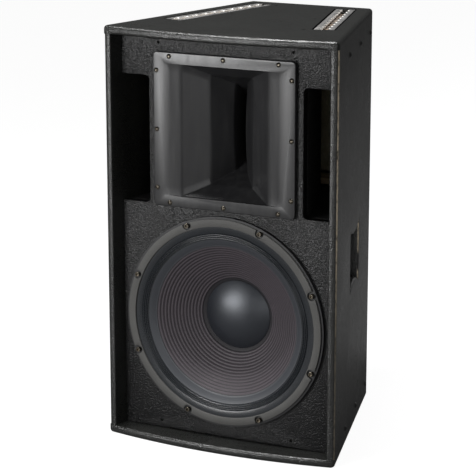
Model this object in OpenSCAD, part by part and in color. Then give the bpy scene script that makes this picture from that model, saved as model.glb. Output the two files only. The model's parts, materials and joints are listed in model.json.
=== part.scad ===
// Two-way vented loudspeaker cabinet with a trapezoidal plan.
// Front faces -Y, +X is to the right seen from the front, +Z is up.
// The origin is on the underside, at the middle of the outer box.

/* [Cabinet] */
// Height over the top and bottom panels
cab_h = 760; // [756:1:920]
// Width across the front edges of the side panels
cab_w = 455; // [440:1:560]
// Depth from the front edges of the side panels to the back
cab_d = 406; // [402:1:490]
// How far the top and bottom panels bow out in front
front_bow = 24; // [10:1:40]
// Angle of each side panel to the centre line, degrees
side_angle = 14.25; // [12:0.25:15]
// Thickness of the outer panels
panel_t = 15; // [14:0.5:18]
// Thickness of the baffle
baffle_t = 18; // [15:0.5:22]
// Depth of the baffle face behind the side panels' front edges
baffle_recess = 29; // [24:1:40]
// Thickness of the shelf braces and duct walls
shelf_t = 12; // [9:0.5:15]

/* [Woofer] */
// Diameter of the woofer frame
woofer_d = 390; // [320:1:394]
// Height of the woofer's axis
woofer_z = 234; // [226:1:236]
// Thickness of the frame's rim
rim_t = 7; // [5:0.5:10]
// Thickness of the gasket ring on the rim
gasket_t = 3.6; // [2:0.2:6]
// Diameter of the voice coil former
coil_d = 101.6; // [90:0.2:104]
// Furthest travel of the cone each way
cone_travel = 7; // [3:0.5:8]
// Radius of the woofer screws' shanks
woofer_screw_r = 2.95; // [2.5:0.05:3.2]
// Number of woofer screws
woofer_screws_n = 8; // [8:1:8]

/* [Horn] */
// Width of the horn flange
horn_w = 276; // [226:1:300]
// Height of the horn flange
horn_h = 278; // [268:1:290]
// Distance of the horn's axis below the top of the cabinet
horn_drop = 182.5; // [174:0.5:190]
// Thickness of the horn flange
flange_t = 6; // [4:0.5:9]
// Thickness of the foam seal behind the flange
seal_t = 1.8; // [1:0.1:3]
// Wall thickness of the horn body
horn_wall = 5; // [3:0.5:6]
// Half width of the throat slot
slot_half = 11; // [8:0.5:14]
// Length of the horn from flange face to driver
horn_l = 190; // [170:1:210]
// Diameter of the driver's throat
throat_d = 36; // [25:1:50]

/* [Ports] */
// Gap between the horn flange and each port
port_gap = 12.5; // [8:0.5:20]
// Height of each port
port_h = 231; // [200:1:232]
// How far the port centres sit below the horn's axis
port_drop = 22; // [20:1:24]
// Depth of the ducts behind the side panels' front edges
duct_end = 190; // [120:1:200]

/* [Hand holds] */
// Length of the hand opening along the side panel
hand_w = 104; // [90:1:120]
// Height of the hand opening
hand_h = 113; // [100:1:120]
// Height of the hand opening's centre
hand_z = 332; // [330:1:336]
// Distance of its centre from the panel's front edge
hand_back = 221; // [215:1:230]
// How far each grip lip bulges into the opening
grip_bulge = 12; // [6:1:16]
// Depth of the cup behind the panel
cup_depth = 48; // [40:1:50]

/* [Rigging] */
// Number of stud holes along a load track
track_holes = 10; // [6:1:10]
// Spacing of the stud holes
track_pitch = 25.4; // [25.4:0.1:25.4]
// Width of a load track
track_w = 36; // [35:0.5:38]
// Height of a load track
track_h = 11; // [10:0.5:12]
// Distance of the track's centre line from the side face
track_in = 48; // [46:1:56]
// Distance of the small panel bolts from the side face
rig_bolt_in = 82.5; // [80:0.5:88]
// Spacing of the rig bolts along the cabinet
rig_bolt_pitch = 132; // [100:1:132]

/* [Grille fixing] */
// Spacing of the grille screw holes across the cabinet
grille_span = 261.2; // [240:0.2:264]
// Distance of the grille screw holes from the top and bottom faces
grille_edge = 28.5; // [24:0.5:32]

/* [Hidden] */
$fn = 64;

cut = 1;              // how far a cutter runs past the face it opens
slide_gap = 0.1;      // radial room round a screw or insert in its hole
part_gap = 0.5;       // room between a piece and the cut-out that it sits in

// Cabinet
front_y = (front_bow - cab_d) / 2;       // Y of the side panels' front edges
side_tan = tan(side_angle);
side_thick_x = panel_t / cos(side_angle);
bow_r = cab_w * cab_w / (8 * front_bow) + front_bow / 2;
rear_in = cab_d - panel_t;               // depth of the rear panel's inner face
baffle_back = baffle_recess + baffle_t;

// Woofer, in its own frame: z is the depth behind the baffle face
rim_r = woofer_d / 2;
gasket_out = rim_r - 4;
gasket_in = rim_r - 17.7;
screw_circle_r = rim_r - 8.25;
basket_r = rim_r - 19.5;
basket_hole_r = basket_r + part_gap;
surround_out = gasket_in;
surround_land = rim_r - 30;
cone_r = rim_r - 41.4;
apron_in = rim_r - 55.7;
cone_edge_z = -5.4;
apron_z = 2;
rib_in_r = 76.7;
rib_in_z = 45.6;
neck_z = 63;
cone_t = 1.4;
cap_r = 63.6;
cap_bulge = 20;
cap_wall = 0.8;
cap_sink = 0.6;                          // how far the cap's edge is set into the cone
former_r = coil_d / 2;
former_t = 0.6;
winding_t = 1;
coil_gap = 0.9;
spider_z = 80;
spider_r = 88;
spider_t = 0.8;
plate_z = 101;
plate_t = 10;
magnet_t = 24;
magnet_r = 95;
back_plate_t = 12;
screw_head_r = 5;
screw_head_t = 6;
tee_flange_r = 9;
tee_flange_t = 1.5;
tee_barrel_r = 4;
tee_barrel_l = 12;
notch_r = 8.2;                           // gasket notch round each screw
basket_wall_r = rim_r - 32;
basket_hub_r = 97;
spoke_half = 10;
back_z = plate_z + plate_t + magnet_t;   // front face of the back plate
former_room = 9;                         // left behind the former at its furthest travel
former_start = neck_z - 2;
former_l = back_z - former_room - cone_travel - former_start;
winding_over = 4;                        // how far the winding overhangs each side of the plate
pole_vent_r = 18;
magnet_bore_r = 62;

// Horn, in its own frame: z is the depth behind the baffle face
horn_z = cab_h - horn_drop;
flange_front = -(seal_t + flange_t);
flange_back = -seal_t;
band_half = horn_w / 2 - 23;             // where the side bands start to slope in
mouth_half = 83.8;
mouth_half_h = horn_h / 2 - 20;
crease_half = 41.5;
crease_half_h = 99;
slot_half_h = 79;
mouth_z = flange_front + 6;
crease_z = flange_front + 34;
slot_z = flange_front + 77;
driver_z = flange_front + horn_l;
spigot_half = horn_w / 2 - 19;
spigot_half_h = horn_h / 2 - 16;
spigot_z = 5;
horn_hole_half = spigot_half + 3;
horn_hole_half_h = spigot_half_h + 3;
horn_corner_r = 7;
horn_screw_x = horn_w / 2 - 7;
horn_screw_z = horn_h / 2 - 7;
horn_screw_row = 106;
horn_screw_r = 2;
horn_head_r = 4.6;
horn_head_h = 3;
adaptor_r = 62;
adaptor_t = 12;
driver_bolt_circle = 101.6;
driver_bolt_r = 2.95;
throat_r = throat_d / 2;

// Compression driver
driver_r = 85;
driver_plate_t = 12;
driver_magnet_t = 22;
gap_plate_t = 10;
dome_r = 37.2;
dome_sphere_r = 50;
dome_t = 0.5;
plug_gap = 1.5;
dome_base = driver_z + driver_plate_t + driver_magnet_t + gap_plate_t + 1;
dome_centre = dome_base - sqrt(dome_sphere_r * dome_sphere_r - dome_r * dome_r);
pole_r = dome_r - 1;
gap_plate_back = dome_base - 1;
clamp_in = 44;
clamp_out = 58;
cover_out = 62;
cover_l = 36;

// Ports
port_in = horn_w / 2 + port_gap;
port_mid = horn_z - port_drop;
port_low = port_mid - port_h / 2;
port_high = port_mid + port_h / 2;
port_corner_r = 8;

// Inside fittings
grille_bore_r = 2.6;
insert_r = 4;
insert_l = 12;
shelf_window_half = 86;
shelf_window_start = 112;
shelf_window_end = rear_in - 42;
cleat_w = 15;
cleat_gap = 30;
cleat_low = 5;                           // cleats stand this far above the brackets
pad_t = 22;
pad_gap = 8;                             // room round a pad
pad_corner_gap = 6;                      // room between the rear pad and the side pads
side_pad_start = 95;
glue_t = 0.2;                            // glue line between a pad and its board

// Hand holds
grip_r = (hand_w * hand_w / 4 + grip_bulge * grip_bulge) / (2 * grip_bulge);
cup_wall = 3;
cup_lip = 12;                            // how far the cup reaches behind the grips
cup_flange = 10;
cup_screw_r = 1.9;
cup_screw_l = 10;
cup_corner_r = 8;
cup_flange_r = 6;
cup_w = hand_w + 2 * cup_wall + 6;
cup_h = hand_h + 2 * (cup_wall + cup_lip) - 6;

// Rigging
track_margin = 4;                        // track left beyond the first and last stud space
track_l = track_holes * track_pitch + 2 * track_margin;
track_start = 134;
track_sink = 0.4;
pocket_gap = 2;
pocket_depth = track_h + track_sink;
channel_w = 21;
channel_floor = 2.2;
channel_h = 5.3;
track_slot_w = 11;
stud_hole_d = 20;
bracket_t = 3;
bracket_leg = 50;
bracket_w = 85;
bracket_start = 110;
bracket_end = (cab_d - panel_t - 7) / cos(side_angle);
rig_bolt_start = 127;
rig_bolt_r = 3;
rig_drop_top = 42;
rig_drop_bottom = 32;
rig_bolts_n = 3;
nut_r = 5.8;
nut_h = 4.5;
bolt_end = 6;                            // bolt left past the stack that it clamps

// Rear connector dish
dish_z = 330;
dish_w = 120;
dish_h = 90;
dish_depth = 28;
dish_wall = 1.5;
dish_flange = 14;
dish_flange_t = 2;
dish_head_t = 1.5;
dish_sink = dish_head_t + dish_flange_t;
dish_face = cab_d - dish_head_t;         // depth of the flange's outer face
socket_x = 28;
socket_hole_r = 13;
socket_wall = 1.5;
socket_plate_t = 2.5;
socket_well = 18;
socket_l = 20;
socket_hub_r = 7;
dish_screw_r = 1.6;
dish_corner_r = 6;

// Crossover
board_w = 150;
board_h = 130;
board_z = 70;
board_t = 2;
standoff_l = 10;
board_face = rear_in - standoff_l - board_t;
board_margin = 8;

// Inside leads: points are X, depth behind the side panels' front edges, height
lead_r = 2.5;
lead_sides = 8;
lead_routes = [
    [[-56, 340, 150], [-56, 330, 210], [-50, 328, 270], [-38, 330, 315], [-30, 340, 330],
     [-28, 350, 330]],
    [[64, 368, 100], [80, 350, 96], [104, 300, 120], [112, 250, 170], [116, 190, 214],
     [119, 150, 232], [119, 122, 234]],
    [[66, 368, 180], [72, 340, 240], [64, 320, 330], [40, 316, 420], [14, 306, 486],
     [9, 296, 500], [9, 287, 498]]
];

wood = [0.13, 0.13, 0.125];
bare_wood = [0.72, 0.58, 0.4];
steel = [0.6, 0.6, 0.58];
zinc = [0.75, 0.74, 0.7];
black_steel = [0.12, 0.12, 0.12];
horn_grey = [0.31, 0.31, 0.32];
wool = [0.75, 0.7, 0.5];

function half_out(d) = cab_w / 2 - d * side_tan;
function half_in(d) = half_out(d) - side_thick_x;

// ---------- shared shapes ----------

// The frame of the right side panel: x = 0 is its outer face, y runs back along it.
module along_side() {
    translate([cab_w / 2, front_y, 0]) rotate([0, 0, side_angle]) children();
}

module both_sides() {
    children();
    mirror([1, 0, 0]) children();
}

module woofer_frame() {
    translate([0, front_y + baffle_recess, woofer_z]) rotate([-90, 0, 0]) children();
}

module horn_frame() {
    translate([0, front_y + baffle_recess, horn_z]) rotate([-90, 0, 0]) children();
}

module rear_frame(z) {
    translate([0, front_y + cab_d, z]) rotate([90, 0, 0]) children();
}

module rounded_rect(w, h, r) {
    square([w - 2 * r, h], center = true);
    square([w, h - 2 * r], center = true);
    for (x = [-1, 1], y = [-1, 1]) {
        translate([x * (w / 2 - r), y * (h / 2 - r)]) circle(r = r);
    }
}

module ring(r_out, r_in, h) {
    difference() {
        cylinder(r = r_out, h = h, $fn = 128);
        translate([0, 0, -cut]) cylinder(r = r_in, h = h + 2 * cut, $fn = 128);
    }
}

// The plan between the inner faces of the side panels, from depth d1 to d2.
module inner_plan(d1, d2) {
    polygon([
        [-half_in(d1), front_y + d1], [half_in(d1), front_y + d1],
        [half_in(d2), front_y + d2], [-half_in(d2), front_y + d2]
    ]);
}

// A dome-headed screw: head on +z, shank down from z = 0.
module dome_screw(head_r, head_h, shank_r, shank_l) {
    dome = (head_r * head_r + head_h * head_h) / (2 * head_h);
    intersection() {
        translate([0, 0, head_h - dome]) sphere(r = dome, $fn = 48);
        cylinder(r = head_r, h = head_h, $fn = 32);
    }
    translate([0, 0, -shank_l]) cylinder(r = shank_r, h = shank_l, $fn = 24);
}

// ---------- cabinet shell ----------

module end_plan() {
    intersection() {
        polygon([
            [-half_out(-front_bow - cut), front_y - front_bow - cut],
            [half_out(-front_bow - cut), front_y - front_bow - cut],
            [half_out(cab_d), front_y + cab_d],
            [-half_out(cab_d), front_y + cab_d]
        ]);
        translate([0, front_y - front_bow + bow_r]) circle(r = bow_r, $fn = 256);
    }
}

// Cutters for the track pocket and the bolts through one end panel, seen from outside at z = 0.
module end_panel_cuts() {
    both_sides() along_side() {
        translate([-track_in - track_w / 2 - pocket_gap, track_start - pocket_gap, -pocket_depth])
            cube([track_w + 2 * pocket_gap, track_l + 2 * pocket_gap, pocket_depth + cut]);
        for (i = [0 : 2 : track_holes - 1]) {
            translate([-track_in, track_screw_at(i), -panel_t - cut])
                cylinder(r = rig_bolt_r + slide_gap, h = panel_t + 2 * cut, $fn = 24);
        }
        for (i = [0 : rig_bolts_n - 1]) {
            translate([-rig_bolt_in, rig_bolt_start + i * rig_bolt_pitch, -panel_t - cut])
                cylinder(r = rig_bolt_r + slide_gap, h = panel_t + 2 * cut, $fn = 24);
        }
    }
}

// Place along the side of track screw i, midway between two stud holes.
function track_screw_at(i) = track_start + track_margin + (i + 1) * track_pitch;

module end_panel() {
    difference() {
        translate([0, 0, -panel_t]) linear_extrude(panel_t) end_plan();
        end_panel_cuts();
    }
}

module top_panel() {
    color(wood) translate([0, 0, cab_h]) end_panel();
}

module bottom_panel() {
    color(wood) mirror([0, 0, 1]) end_panel();
}

module hand_outline() {
    difference() {
        square([hand_w, hand_h], center = true);
        for (s = [-1, 1]) {
            translate([0, s * (hand_h / 2 + grip_r - grip_bulge)]) circle(r = grip_r, $fn = 128);
        }
    }
}

// Turns a flat outline (x along the side, y up) so that it faces out of the right side at x = 0.
module on_side_face() {
    rotate([90, 0, 90]) children();
}

module side_panel() {
    difference() {
        translate([0, 0, panel_t]) linear_extrude(cab_h - 2 * panel_t) polygon([
            [half_in(0), front_y], [half_out(0), front_y],
            [half_out(rear_in), front_y + rear_in], [half_in(rear_in), front_y + rear_in]
        ]);
        along_side() {
            translate([-panel_t - cut, hand_back, hand_z])
                on_side_face() linear_extrude(panel_t + 2 * cut) hand_outline();
            for (i = [0 : rig_bolts_n - 1], z = [cab_h - rig_drop_top, rig_drop_bottom]) {
                translate([-panel_t - cut, rig_bolt_start + i * rig_bolt_pitch, z])
                    rotate([0, 90, 0])
                        cylinder(r = rig_bolt_r + slide_gap, h = panel_t + 2 * cut, $fn = 24);
            }
            for (p = cup_screw_places()) {
                translate([-panel_t - cut, p[0], p[1]]) rotate([0, 90, 0])
                    cylinder(r = cup_screw_r + slide_gap, h = cup_screw_l + cut, $fn = 24);
            }
        }
    }
}

module right_side_panel() {
    color(wood) side_panel();
}

module left_side_panel() {
    color(wood) mirror([1, 0, 0]) side_panel();
}

module rear_panel() {
    color(wood) difference() {
        translate([0, 0, panel_t]) linear_extrude(cab_h - 2 * panel_t) polygon([
            [-half_out(rear_in), front_y + rear_in], [half_out(rear_in), front_y + rear_in],
            [half_out(cab_d), front_y + cab_d], [-half_out(cab_d), front_y + cab_d]
        ]);
        rear_frame(dish_z) {
            translate([0, 0, -cut]) linear_extrude(panel_t + 2 * cut)
                square([dish_w + 2 * part_gap, dish_h + 2 * part_gap], center = true);
            translate([0, 0, -cut]) linear_extrude(dish_sink + cut)
                rounded_rect(dish_w + 2 * dish_flange + 2 * part_gap,
                             dish_h + 2 * dish_flange + 2 * part_gap, 5);
            for (p = dish_screw_places()) {
                translate([p[0], p[1], 0])
                    cylinder(r = dish_screw_r + slide_gap, h = panel_t - 2, $fn = 24);
            }
        }
    }
}

module baffle() {
    color(wood) difference() {
        translate([0, 0, panel_t]) linear_extrude(cab_h - 2 * panel_t)
            inner_plan(baffle_recess, baffle_back);
        woofer_frame() {
            translate([0, 0, -cut]) cylinder(r = basket_hole_r, h = baffle_t + 2 * cut, $fn = 128);
            woofer_screw_ring() {
                translate([0, 0, -cut])
                    cylinder(r = tee_bore_r(), h = baffle_t + 2 * cut, $fn = 24);
                translate([0, 0, baffle_t - tee_barrel_l])
                    cylinder(r = tee_barrel_r + slide_gap, h = tee_barrel_l + cut, $fn = 24);
            }
        }
        horn_frame() {
            translate([0, 0, -cut]) linear_extrude(baffle_t + 2 * cut)
                square([2 * horn_hole_half, 2 * horn_hole_half_h], center = true);
            horn_screw_grid() translate([0, 0, -cut])
                cylinder(r = horn_screw_r + slide_gap, h = baffle_t + 2 * cut, $fn = 24);
        }
        both_sides() port_notch();
        grille_hole_grid() translate([0, 0, -cut])
            cylinder(r = grille_bore_r, h = baffle_t + 2 * cut, $fn = 24);
        grille_hole_grid() translate([0, 0, baffle_t - insert_l])
            cylinder(r = insert_r, h = insert_l + cut, $fn = 24);
    }
}

// The notch that leaves one port open through the baffle, out to the side panel.
module port_notch() {
    w = cab_w / 2 - port_in;
    translate([port_in + w, front_y + baffle_recess - cut, port_mid]) rotate([-90, 0, 0])
        linear_extrude(baffle_t + 2 * cut) {
            rounded_rect(2 * w, port_h, port_corner_r);
        }
}

module grille_hole_grid() {
    for (x = [-1, 1], z = [grille_edge, cab_h - grille_edge]) {
        translate([x * grille_span / 2, front_y + baffle_recess, z]) rotate([-90, 0, 0]) children();
    }
}

module grille_inserts() {
    color(zinc) grille_hole_grid() translate([0, 0, baffle_t - insert_l])
        ring(insert_r, grille_bore_r - slide_gap, insert_l);
}

module shelf(low, window) {
    color(bare_wood) translate([0, 0, low]) linear_extrude(shelf_t) difference() {
        inner_plan(baffle_back, rear_in);
        polygon(window);
    }
}

module lower_shelf() {
    shelf(port_low - shelf_t, [
        [-shelf_window_half, front_y + shelf_window_start],
        [shelf_window_half, front_y + shelf_window_start],
        [shelf_window_half, front_y + shelf_window_end],
        [-shelf_window_half, front_y + shelf_window_end]
    ]);
}

// The upper shelf is open in front too, where the top of the horn passes through it.
module upper_shelf() {
    w = horn_hole_half;
    shelf(port_high, [
        [-w, front_y + baffle_back - cut], [w, front_y + baffle_back - cut],
        [w, front_y + shelf_window_start], [shelf_window_half, front_y + shelf_window_start],
        [shelf_window_half, front_y + shelf_window_end],
        [-shelf_window_half, front_y + shelf_window_end],
        [-shelf_window_half, front_y + shelf_window_start], [-w, front_y + shelf_window_start]
    ]);
}

module duct_wall() {
    back = port_in - (duct_end - baffle_back) * side_tan;
    wall = shelf_t / cos(side_angle);
    translate([0, 0, port_low]) linear_extrude(port_h) polygon([
        [port_in, front_y + baffle_back], [back, front_y + duct_end],
        [back - wall, front_y + duct_end], [port_in - wall, front_y + baffle_back]
    ]);
}

module right_duct_wall() {
    color(bare_wood) duct_wall();
}

module left_duct_wall() {
    color(bare_wood) mirror([1, 0, 0]) duct_wall();
}

module baffle_cleats() {
    low = panel_t + bracket_leg + cleat_low;
    color(bare_wood) both_sides() translate([0, 0, low])
        linear_extrude(port_low - shelf_t - cleat_gap - low) polygon([
            [half_in(baffle_back), front_y + baffle_back],
            [half_in(baffle_back + cleat_w), front_y + baffle_back + cleat_w],
            [half_in(baffle_back) - cleat_w, front_y + baffle_back + cleat_w],
            [half_in(baffle_back) - cleat_w, front_y + baffle_back]
        ]);
}

module rear_pad() {
    w = 2 * (half_in(rear_in) - pad_t - pad_corner_gap);
    low = port_low + pad_gap;
    color(wool) translate([-w / 2, front_y + rear_in - pad_t - glue_t, low])
        cube([w, pad_t, port_h - 2 * pad_gap]);
}

// One damping pad against the inside of the right panel.
module side_pad(start, end, low, high) {
    along_side() translate([-panel_t - pad_t - glue_t, start, low])
        cube([pad_t, end - start, high - low]);
}

module side_pads() {
    back = (rear_in - pad_t - pad_corner_gap) / cos(side_angle);
    front = duct_end / cos(side_angle) + 2 * pad_gap;
    side_pad(front, back - 2 * pad_gap, port_low + pad_gap, port_high - pad_gap);
    cup_low = hand_z - cup_h / 2 - cup_flange;
    side_pad(side_pad_start, back, panel_t + bracket_leg + pad_gap, cup_low - pad_gap / 2);
}

module right_pads() {
    color(wool) side_pads();
}

module left_pads() {
    color(wool) mirror([1, 0, 0]) side_pads();
}

// ---------- rigging ----------

// One load track: open channel with a scalloped slot, top face at z = 0.
module track() {
    translate([-track_in, track_start, -track_h - track_sink]) difference() {
        translate([-track_w / 2, 0, 0]) cube([track_w, track_l, track_h]);
        translate([-channel_w / 2, -cut, channel_floor]) cube([channel_w, track_l + 2 * cut, channel_h]);
        translate([-track_slot_w / 2, -cut, channel_floor])
            cube([track_slot_w, track_l + 2 * cut, track_h]);
        for (i = [0 : track_holes - 1]) {
            translate([0, track_margin + (i + 0.5) * track_pitch, channel_floor])
                cylinder(d = stud_hole_d, h = track_h, $fn = 48);
        }
        for (i = [0 : 2 : track_holes - 1]) {
            translate([0, track_screw_at(i) - track_start, -cut])
                cylinder(r = rig_bolt_r + slide_gap, h = track_h, $fn = 24);
        }
    }
}

module at_top() {
    translate([0, 0, cab_h]) children();
}

module at_bottom() {
    mirror([0, 0, 1]) children();
}

module track_top_right() {
    color(steel) at_top() along_side() track();
}

module track_top_left() {
    color(steel) mirror([1, 0, 0]) at_top() along_side() track();
}

module track_bottom_right() {
    color(steel) at_bottom() along_side() track();
}

module track_bottom_left() {
    color(steel) mirror([1, 0, 0]) at_bottom() along_side() track();
}

// A bolt that clamps from z = 0 down through a stack, with its nut underneath.
module stack_bolt(head_r, head_h, stack) {
    dome_screw(head_r, head_h, rig_bolt_r, stack + bolt_end);
    translate([0, 0, -stack - nut_h]) difference() {
        cylinder(r = nut_r, h = nut_h, $fn = 6);
        translate([0, 0, -cut]) cylinder(r = rig_bolt_r, h = nut_h + 2 * cut, $fn = 24);
    }
}

module track_screws() {
    color(zinc) both_sides() {
        at_top() along_side() track_screw_row();
        at_bottom() along_side() track_screw_row();
    }
}

module track_screw_row() {
    floor_z = channel_floor - track_h - track_sink;
    for (i = [0 : 2 : track_holes - 1]) {
        translate([-track_in, track_screw_at(i), floor_z])
            stack_bolt(5, 2.6, floor_z + panel_t + bracket_t);
    }
}

// L bracket inside the top right edge: flat leg under the panel, upright leg on the side.
module rig_bracket(drop) {
    len = bracket_end - bracket_start;
    difference() {
        translate([0, 0, -panel_t]) {
            translate([-panel_t - bracket_w, bracket_start, -bracket_t])
                cube([bracket_w, len, bracket_t]);
            translate([-panel_t - bracket_t, bracket_start, -bracket_leg])
                cube([bracket_t, len, bracket_leg]);
        }
        for (i = [0 : 2 : track_holes - 1]) {
            translate([-track_in, track_screw_at(i), -panel_t - bracket_t - cut])
                cylinder(r = rig_bolt_r + slide_gap, h = bracket_t + 2 * cut, $fn = 24);
        }
        for (i = [0 : rig_bolts_n - 1]) {
            translate([-rig_bolt_in, rig_bolt_start + i * rig_bolt_pitch, -panel_t - bracket_t - cut])
                cylinder(r = rig_bolt_r + slide_gap, h = bracket_t + 2 * cut, $fn = 24);
            translate([-panel_t - bracket_t - cut, rig_bolt_start + i * rig_bolt_pitch, -drop])
                rotate([0, 90, 0])
                    cylinder(r = rig_bolt_r + slide_gap, h = bracket_t + 2 * cut, $fn = 24);
        }
    }
}

module rig_bracket_top_right() {
    color(zinc) at_top() along_side() rig_bracket(rig_drop_top);
}

module rig_bracket_top_left() {
    color(zinc) mirror([1, 0, 0]) at_top() along_side() rig_bracket(rig_drop_top);
}

module rig_bracket_bottom_right() {
    color(zinc) at_bottom() along_side() rig_bracket(rig_drop_bottom);
}

module rig_bracket_bottom_left() {
    color(zinc) mirror([1, 0, 0]) at_bottom() along_side() rig_bracket(rig_drop_bottom);
}

module side_bolts() {
    color(black_steel) both_sides() along_side() {
        for (i = [0 : rig_bolts_n - 1], z = [cab_h - rig_drop_top, rig_drop_bottom]) {
            translate([0, rig_bolt_start + i * rig_bolt_pitch, z])
                rotate([0, 90, 0]) stack_bolt(5.5, 3, panel_t + bracket_t);
        }
    }
}

// Small bolts through the end panels, beside the tracks, heads sunk to the surface.
module panel_bolts() {
    color(black_steel) both_sides() {
        at_top() along_side() panel_bolt_row();
        at_bottom() along_side() panel_bolt_row();
    }
}

module panel_bolt_row() {
    stack = panel_t + bracket_t;
    for (i = [0 : rig_bolts_n - 1]) {
        translate([-rig_bolt_in, rig_bolt_start + i * rig_bolt_pitch, -stack - bolt_end])
            cylinder(r = rig_bolt_r, h = stack + bolt_end - track_sink, $fn = 24);
        translate([-rig_bolt_in, rig_bolt_start + i * rig_bolt_pitch, -stack - nut_h])
            ring(nut_r, rig_bolt_r, nut_h);
    }
}

// ---------- hand holds ----------

// Along-side distance and height of each cup screw.
function cup_screw_places() = [
    for (y = [-1, 1], z = [-1, 1])
        [hand_back + y * (cup_w / 2 + cup_flange / 2), hand_z + z * (cup_h / 2 - 8)]
];

module handle_cup() {
    along_side() translate([-panel_t, hand_back, hand_z]) rotate([90, 0, -90]) difference() {
        union() {
            linear_extrude(cup_wall)
                rounded_rect(cup_w + 2 * cup_flange, cup_h + 2 * cup_flange, cup_flange_r);
            linear_extrude(cup_depth) rounded_rect(cup_w, cup_h, cup_corner_r);
        }
        translate([0, 0, -cut]) linear_extrude(cup_depth - cup_wall + cut)
            rounded_rect(cup_w - 2 * cup_wall, cup_h - 2 * cup_wall, cup_corner_r - cup_wall);
        for (p = cup_screw_places()) {
            translate([p[0] - hand_back, p[1] - hand_z, -cut])
                cylinder(r = cup_screw_r + slide_gap, h = cup_wall + 2 * cut, $fn = 24);
        }
    }
}

module right_handle_cup() {
    color(black_steel) handle_cup();
}

module left_handle_cup() {
    color(black_steel) mirror([1, 0, 0]) handle_cup();
}

module handle_screws() {
    color(zinc) both_sides() along_side() for (p = cup_screw_places()) {
        translate([-panel_t - cup_wall, p[0], p[1]]) rotate([0, -90, 0])
            dome_screw(3.6, 2.4, cup_screw_r, cup_wall + cup_screw_l - 1);
    }
}

// ---------- woofer ----------

module woofer_screw_ring() {
    for (i = [0 : woofer_screws_n - 1]) {
        rotate([0, 0, (i + 0.5) * 360 / woofer_screws_n])
            translate([screw_circle_r, 0, 0]) children();
    }
}

function tee_bore_r() = woofer_screw_r + 0.35;

module woofer_basket() {
    land_r = surround_land + 0.5;
    step_r = spider_r - 4;               // the ledge that the spider is glued to
    step_z = spider_z + spider_t / 2;
    color(black_steel) woofer_frame() difference() {
        rotate_extrude($fn = 128) polygon([
            [land_r, -rim_t], [rim_r, -rim_t], [rim_r, 0], [basket_r, 0],
            [basket_r, 5], [basket_wall_r + 4, 16.4], [basket_hub_r, 77.8], [basket_hub_r, plate_z],
            [step_r, plate_z], [step_r, step_z], [spider_r + 2, step_z], [spider_r + 2, step_z - 3.4],
            [basket_wall_r, 13], [land_r, 8]
        ]);
        woofer_screw_ring() translate([0, 0, -rim_t - cut])
            cylinder(r = tee_bore_r(), h = rim_t + 2 * cut, $fn = 24);
        for (i = [0 : woofer_screws_n - 1]) {
            rotate([0, 0, i * 360 / woofer_screws_n]) translate([0, 0, 20])
                linear_extrude(56) basket_window(basket_hub_r + 7, basket_wall_r - 8);
        }
    }
}

// One window between two spokes of the basket, from radius r1 to r2.
module basket_window(r1, r2) {
    k = tan(180 / woofer_screws_n);
    polygon([
        [r1, spoke_half - r1 * k], [r2, spoke_half - r2 * k],
        [r2, r2 * k - spoke_half], [r1, r1 * k - spoke_half]
    ]);
}

module woofer_gasket() {
    color([0.4, 0.4, 0.39]) woofer_frame() translate([0, 0, -rim_t - gasket_t]) difference() {
        ring(gasket_out, gasket_in, gasket_t);
        woofer_screw_ring() translate([0, 0, -cut]) {
            cylinder(r = notch_r, h = gasket_t + 2 * cut, $fn = 48);
            translate([0, -notch_r, 0]) cube([2 * notch_r, 2 * notch_r, gasket_t + 2 * cut]);
        }
    }
}

// Socket-head screws: the head rests on the rim, and z runs into the cabinet.
module woofer_screws() {
    color(steel) woofer_frame() woofer_screw_ring() {
        translate([0, 0, -rim_t]) difference() {
            union() {
                translate([0, 0, -screw_head_t]) cylinder(r = screw_head_r, h = screw_head_t, $fn = 32);
                cylinder(r = woofer_screw_r, h = rim_t + baffle_t + 6, $fn = 24);
            }
            translate([0, 0, -screw_head_t - cut]) cylinder(r = 2.9, h = 3.2 + cut, $fn = 6);
        }
    }
}

module woofer_tee_nuts() {
    color(zinc) woofer_frame() woofer_screw_ring() {
        translate([0, 0, baffle_t - tee_barrel_l])
            ring(tee_barrel_r, woofer_screw_r + slide_gap, tee_barrel_l);
        translate([0, 0, baffle_t]) ring(tee_flange_r, woofer_screw_r + slide_gap, tee_flange_t);
    }
}

module woofer_terminals() {
    color([0.45, 0.25, 0.1]) woofer_frame() difference() {
        union() {
            translate([95, -15, 84]) cube([10, 30, 12]);
            for (y = [-9, 9]) translate([105, y - 3, 89]) cube([12, 6, 1]);
        }
        cylinder(r = basket_hub_r, h = plate_z, $fn = 128);
    }
}

module top_plate() {
    color(steel) woofer_frame() translate([0, 0, plate_z])
        ring(magnet_r - 3, former_r + winding_t + coil_gap, plate_t);
}

module woofer_magnet() {
    color([0.2, 0.2, 0.2]) woofer_frame() translate([0, 0, plate_z + plate_t])
        ring(magnet_r, magnet_bore_r, magnet_t);
}

module pole_piece() {
    color(steel) woofer_frame() difference() {
        union() {
            translate([0, 0, back_z]) cylinder(r = magnet_r - 5, h = back_plate_t, $fn = 128);
            translate([0, 0, plate_z])
                cylinder(r = former_r - former_t - coil_gap, h = back_z - plate_z, $fn = 128);
        }
        translate([0, 0, plate_z - cut])
            cylinder(r = pole_vent_r, h = back_z + back_plate_t - plate_z + 2 * cut, $fn = 64);
    }
}

module spider() {
    color([0.7, 0.55, 0.3]) woofer_frame() rotate_extrude($fn = 128) polygon(concat(
        [for (i = [0 : 12]) spider_point(i, -spider_t / 2)],
        [for (i = [12 : -1 : 0]) spider_point(i, spider_t / 2)]
    ));
}

// Point i of 12 across the spider: shallow rings between the coil and the basket step.
function spider_point(i, side) = [
    former_r + 0.3 + i * (spider_r - former_r - 0.3) / 12,
    spider_z + side - (i > 0 && i < 12 && i % 2 == 1 ? 1.5 : 0)
];

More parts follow.
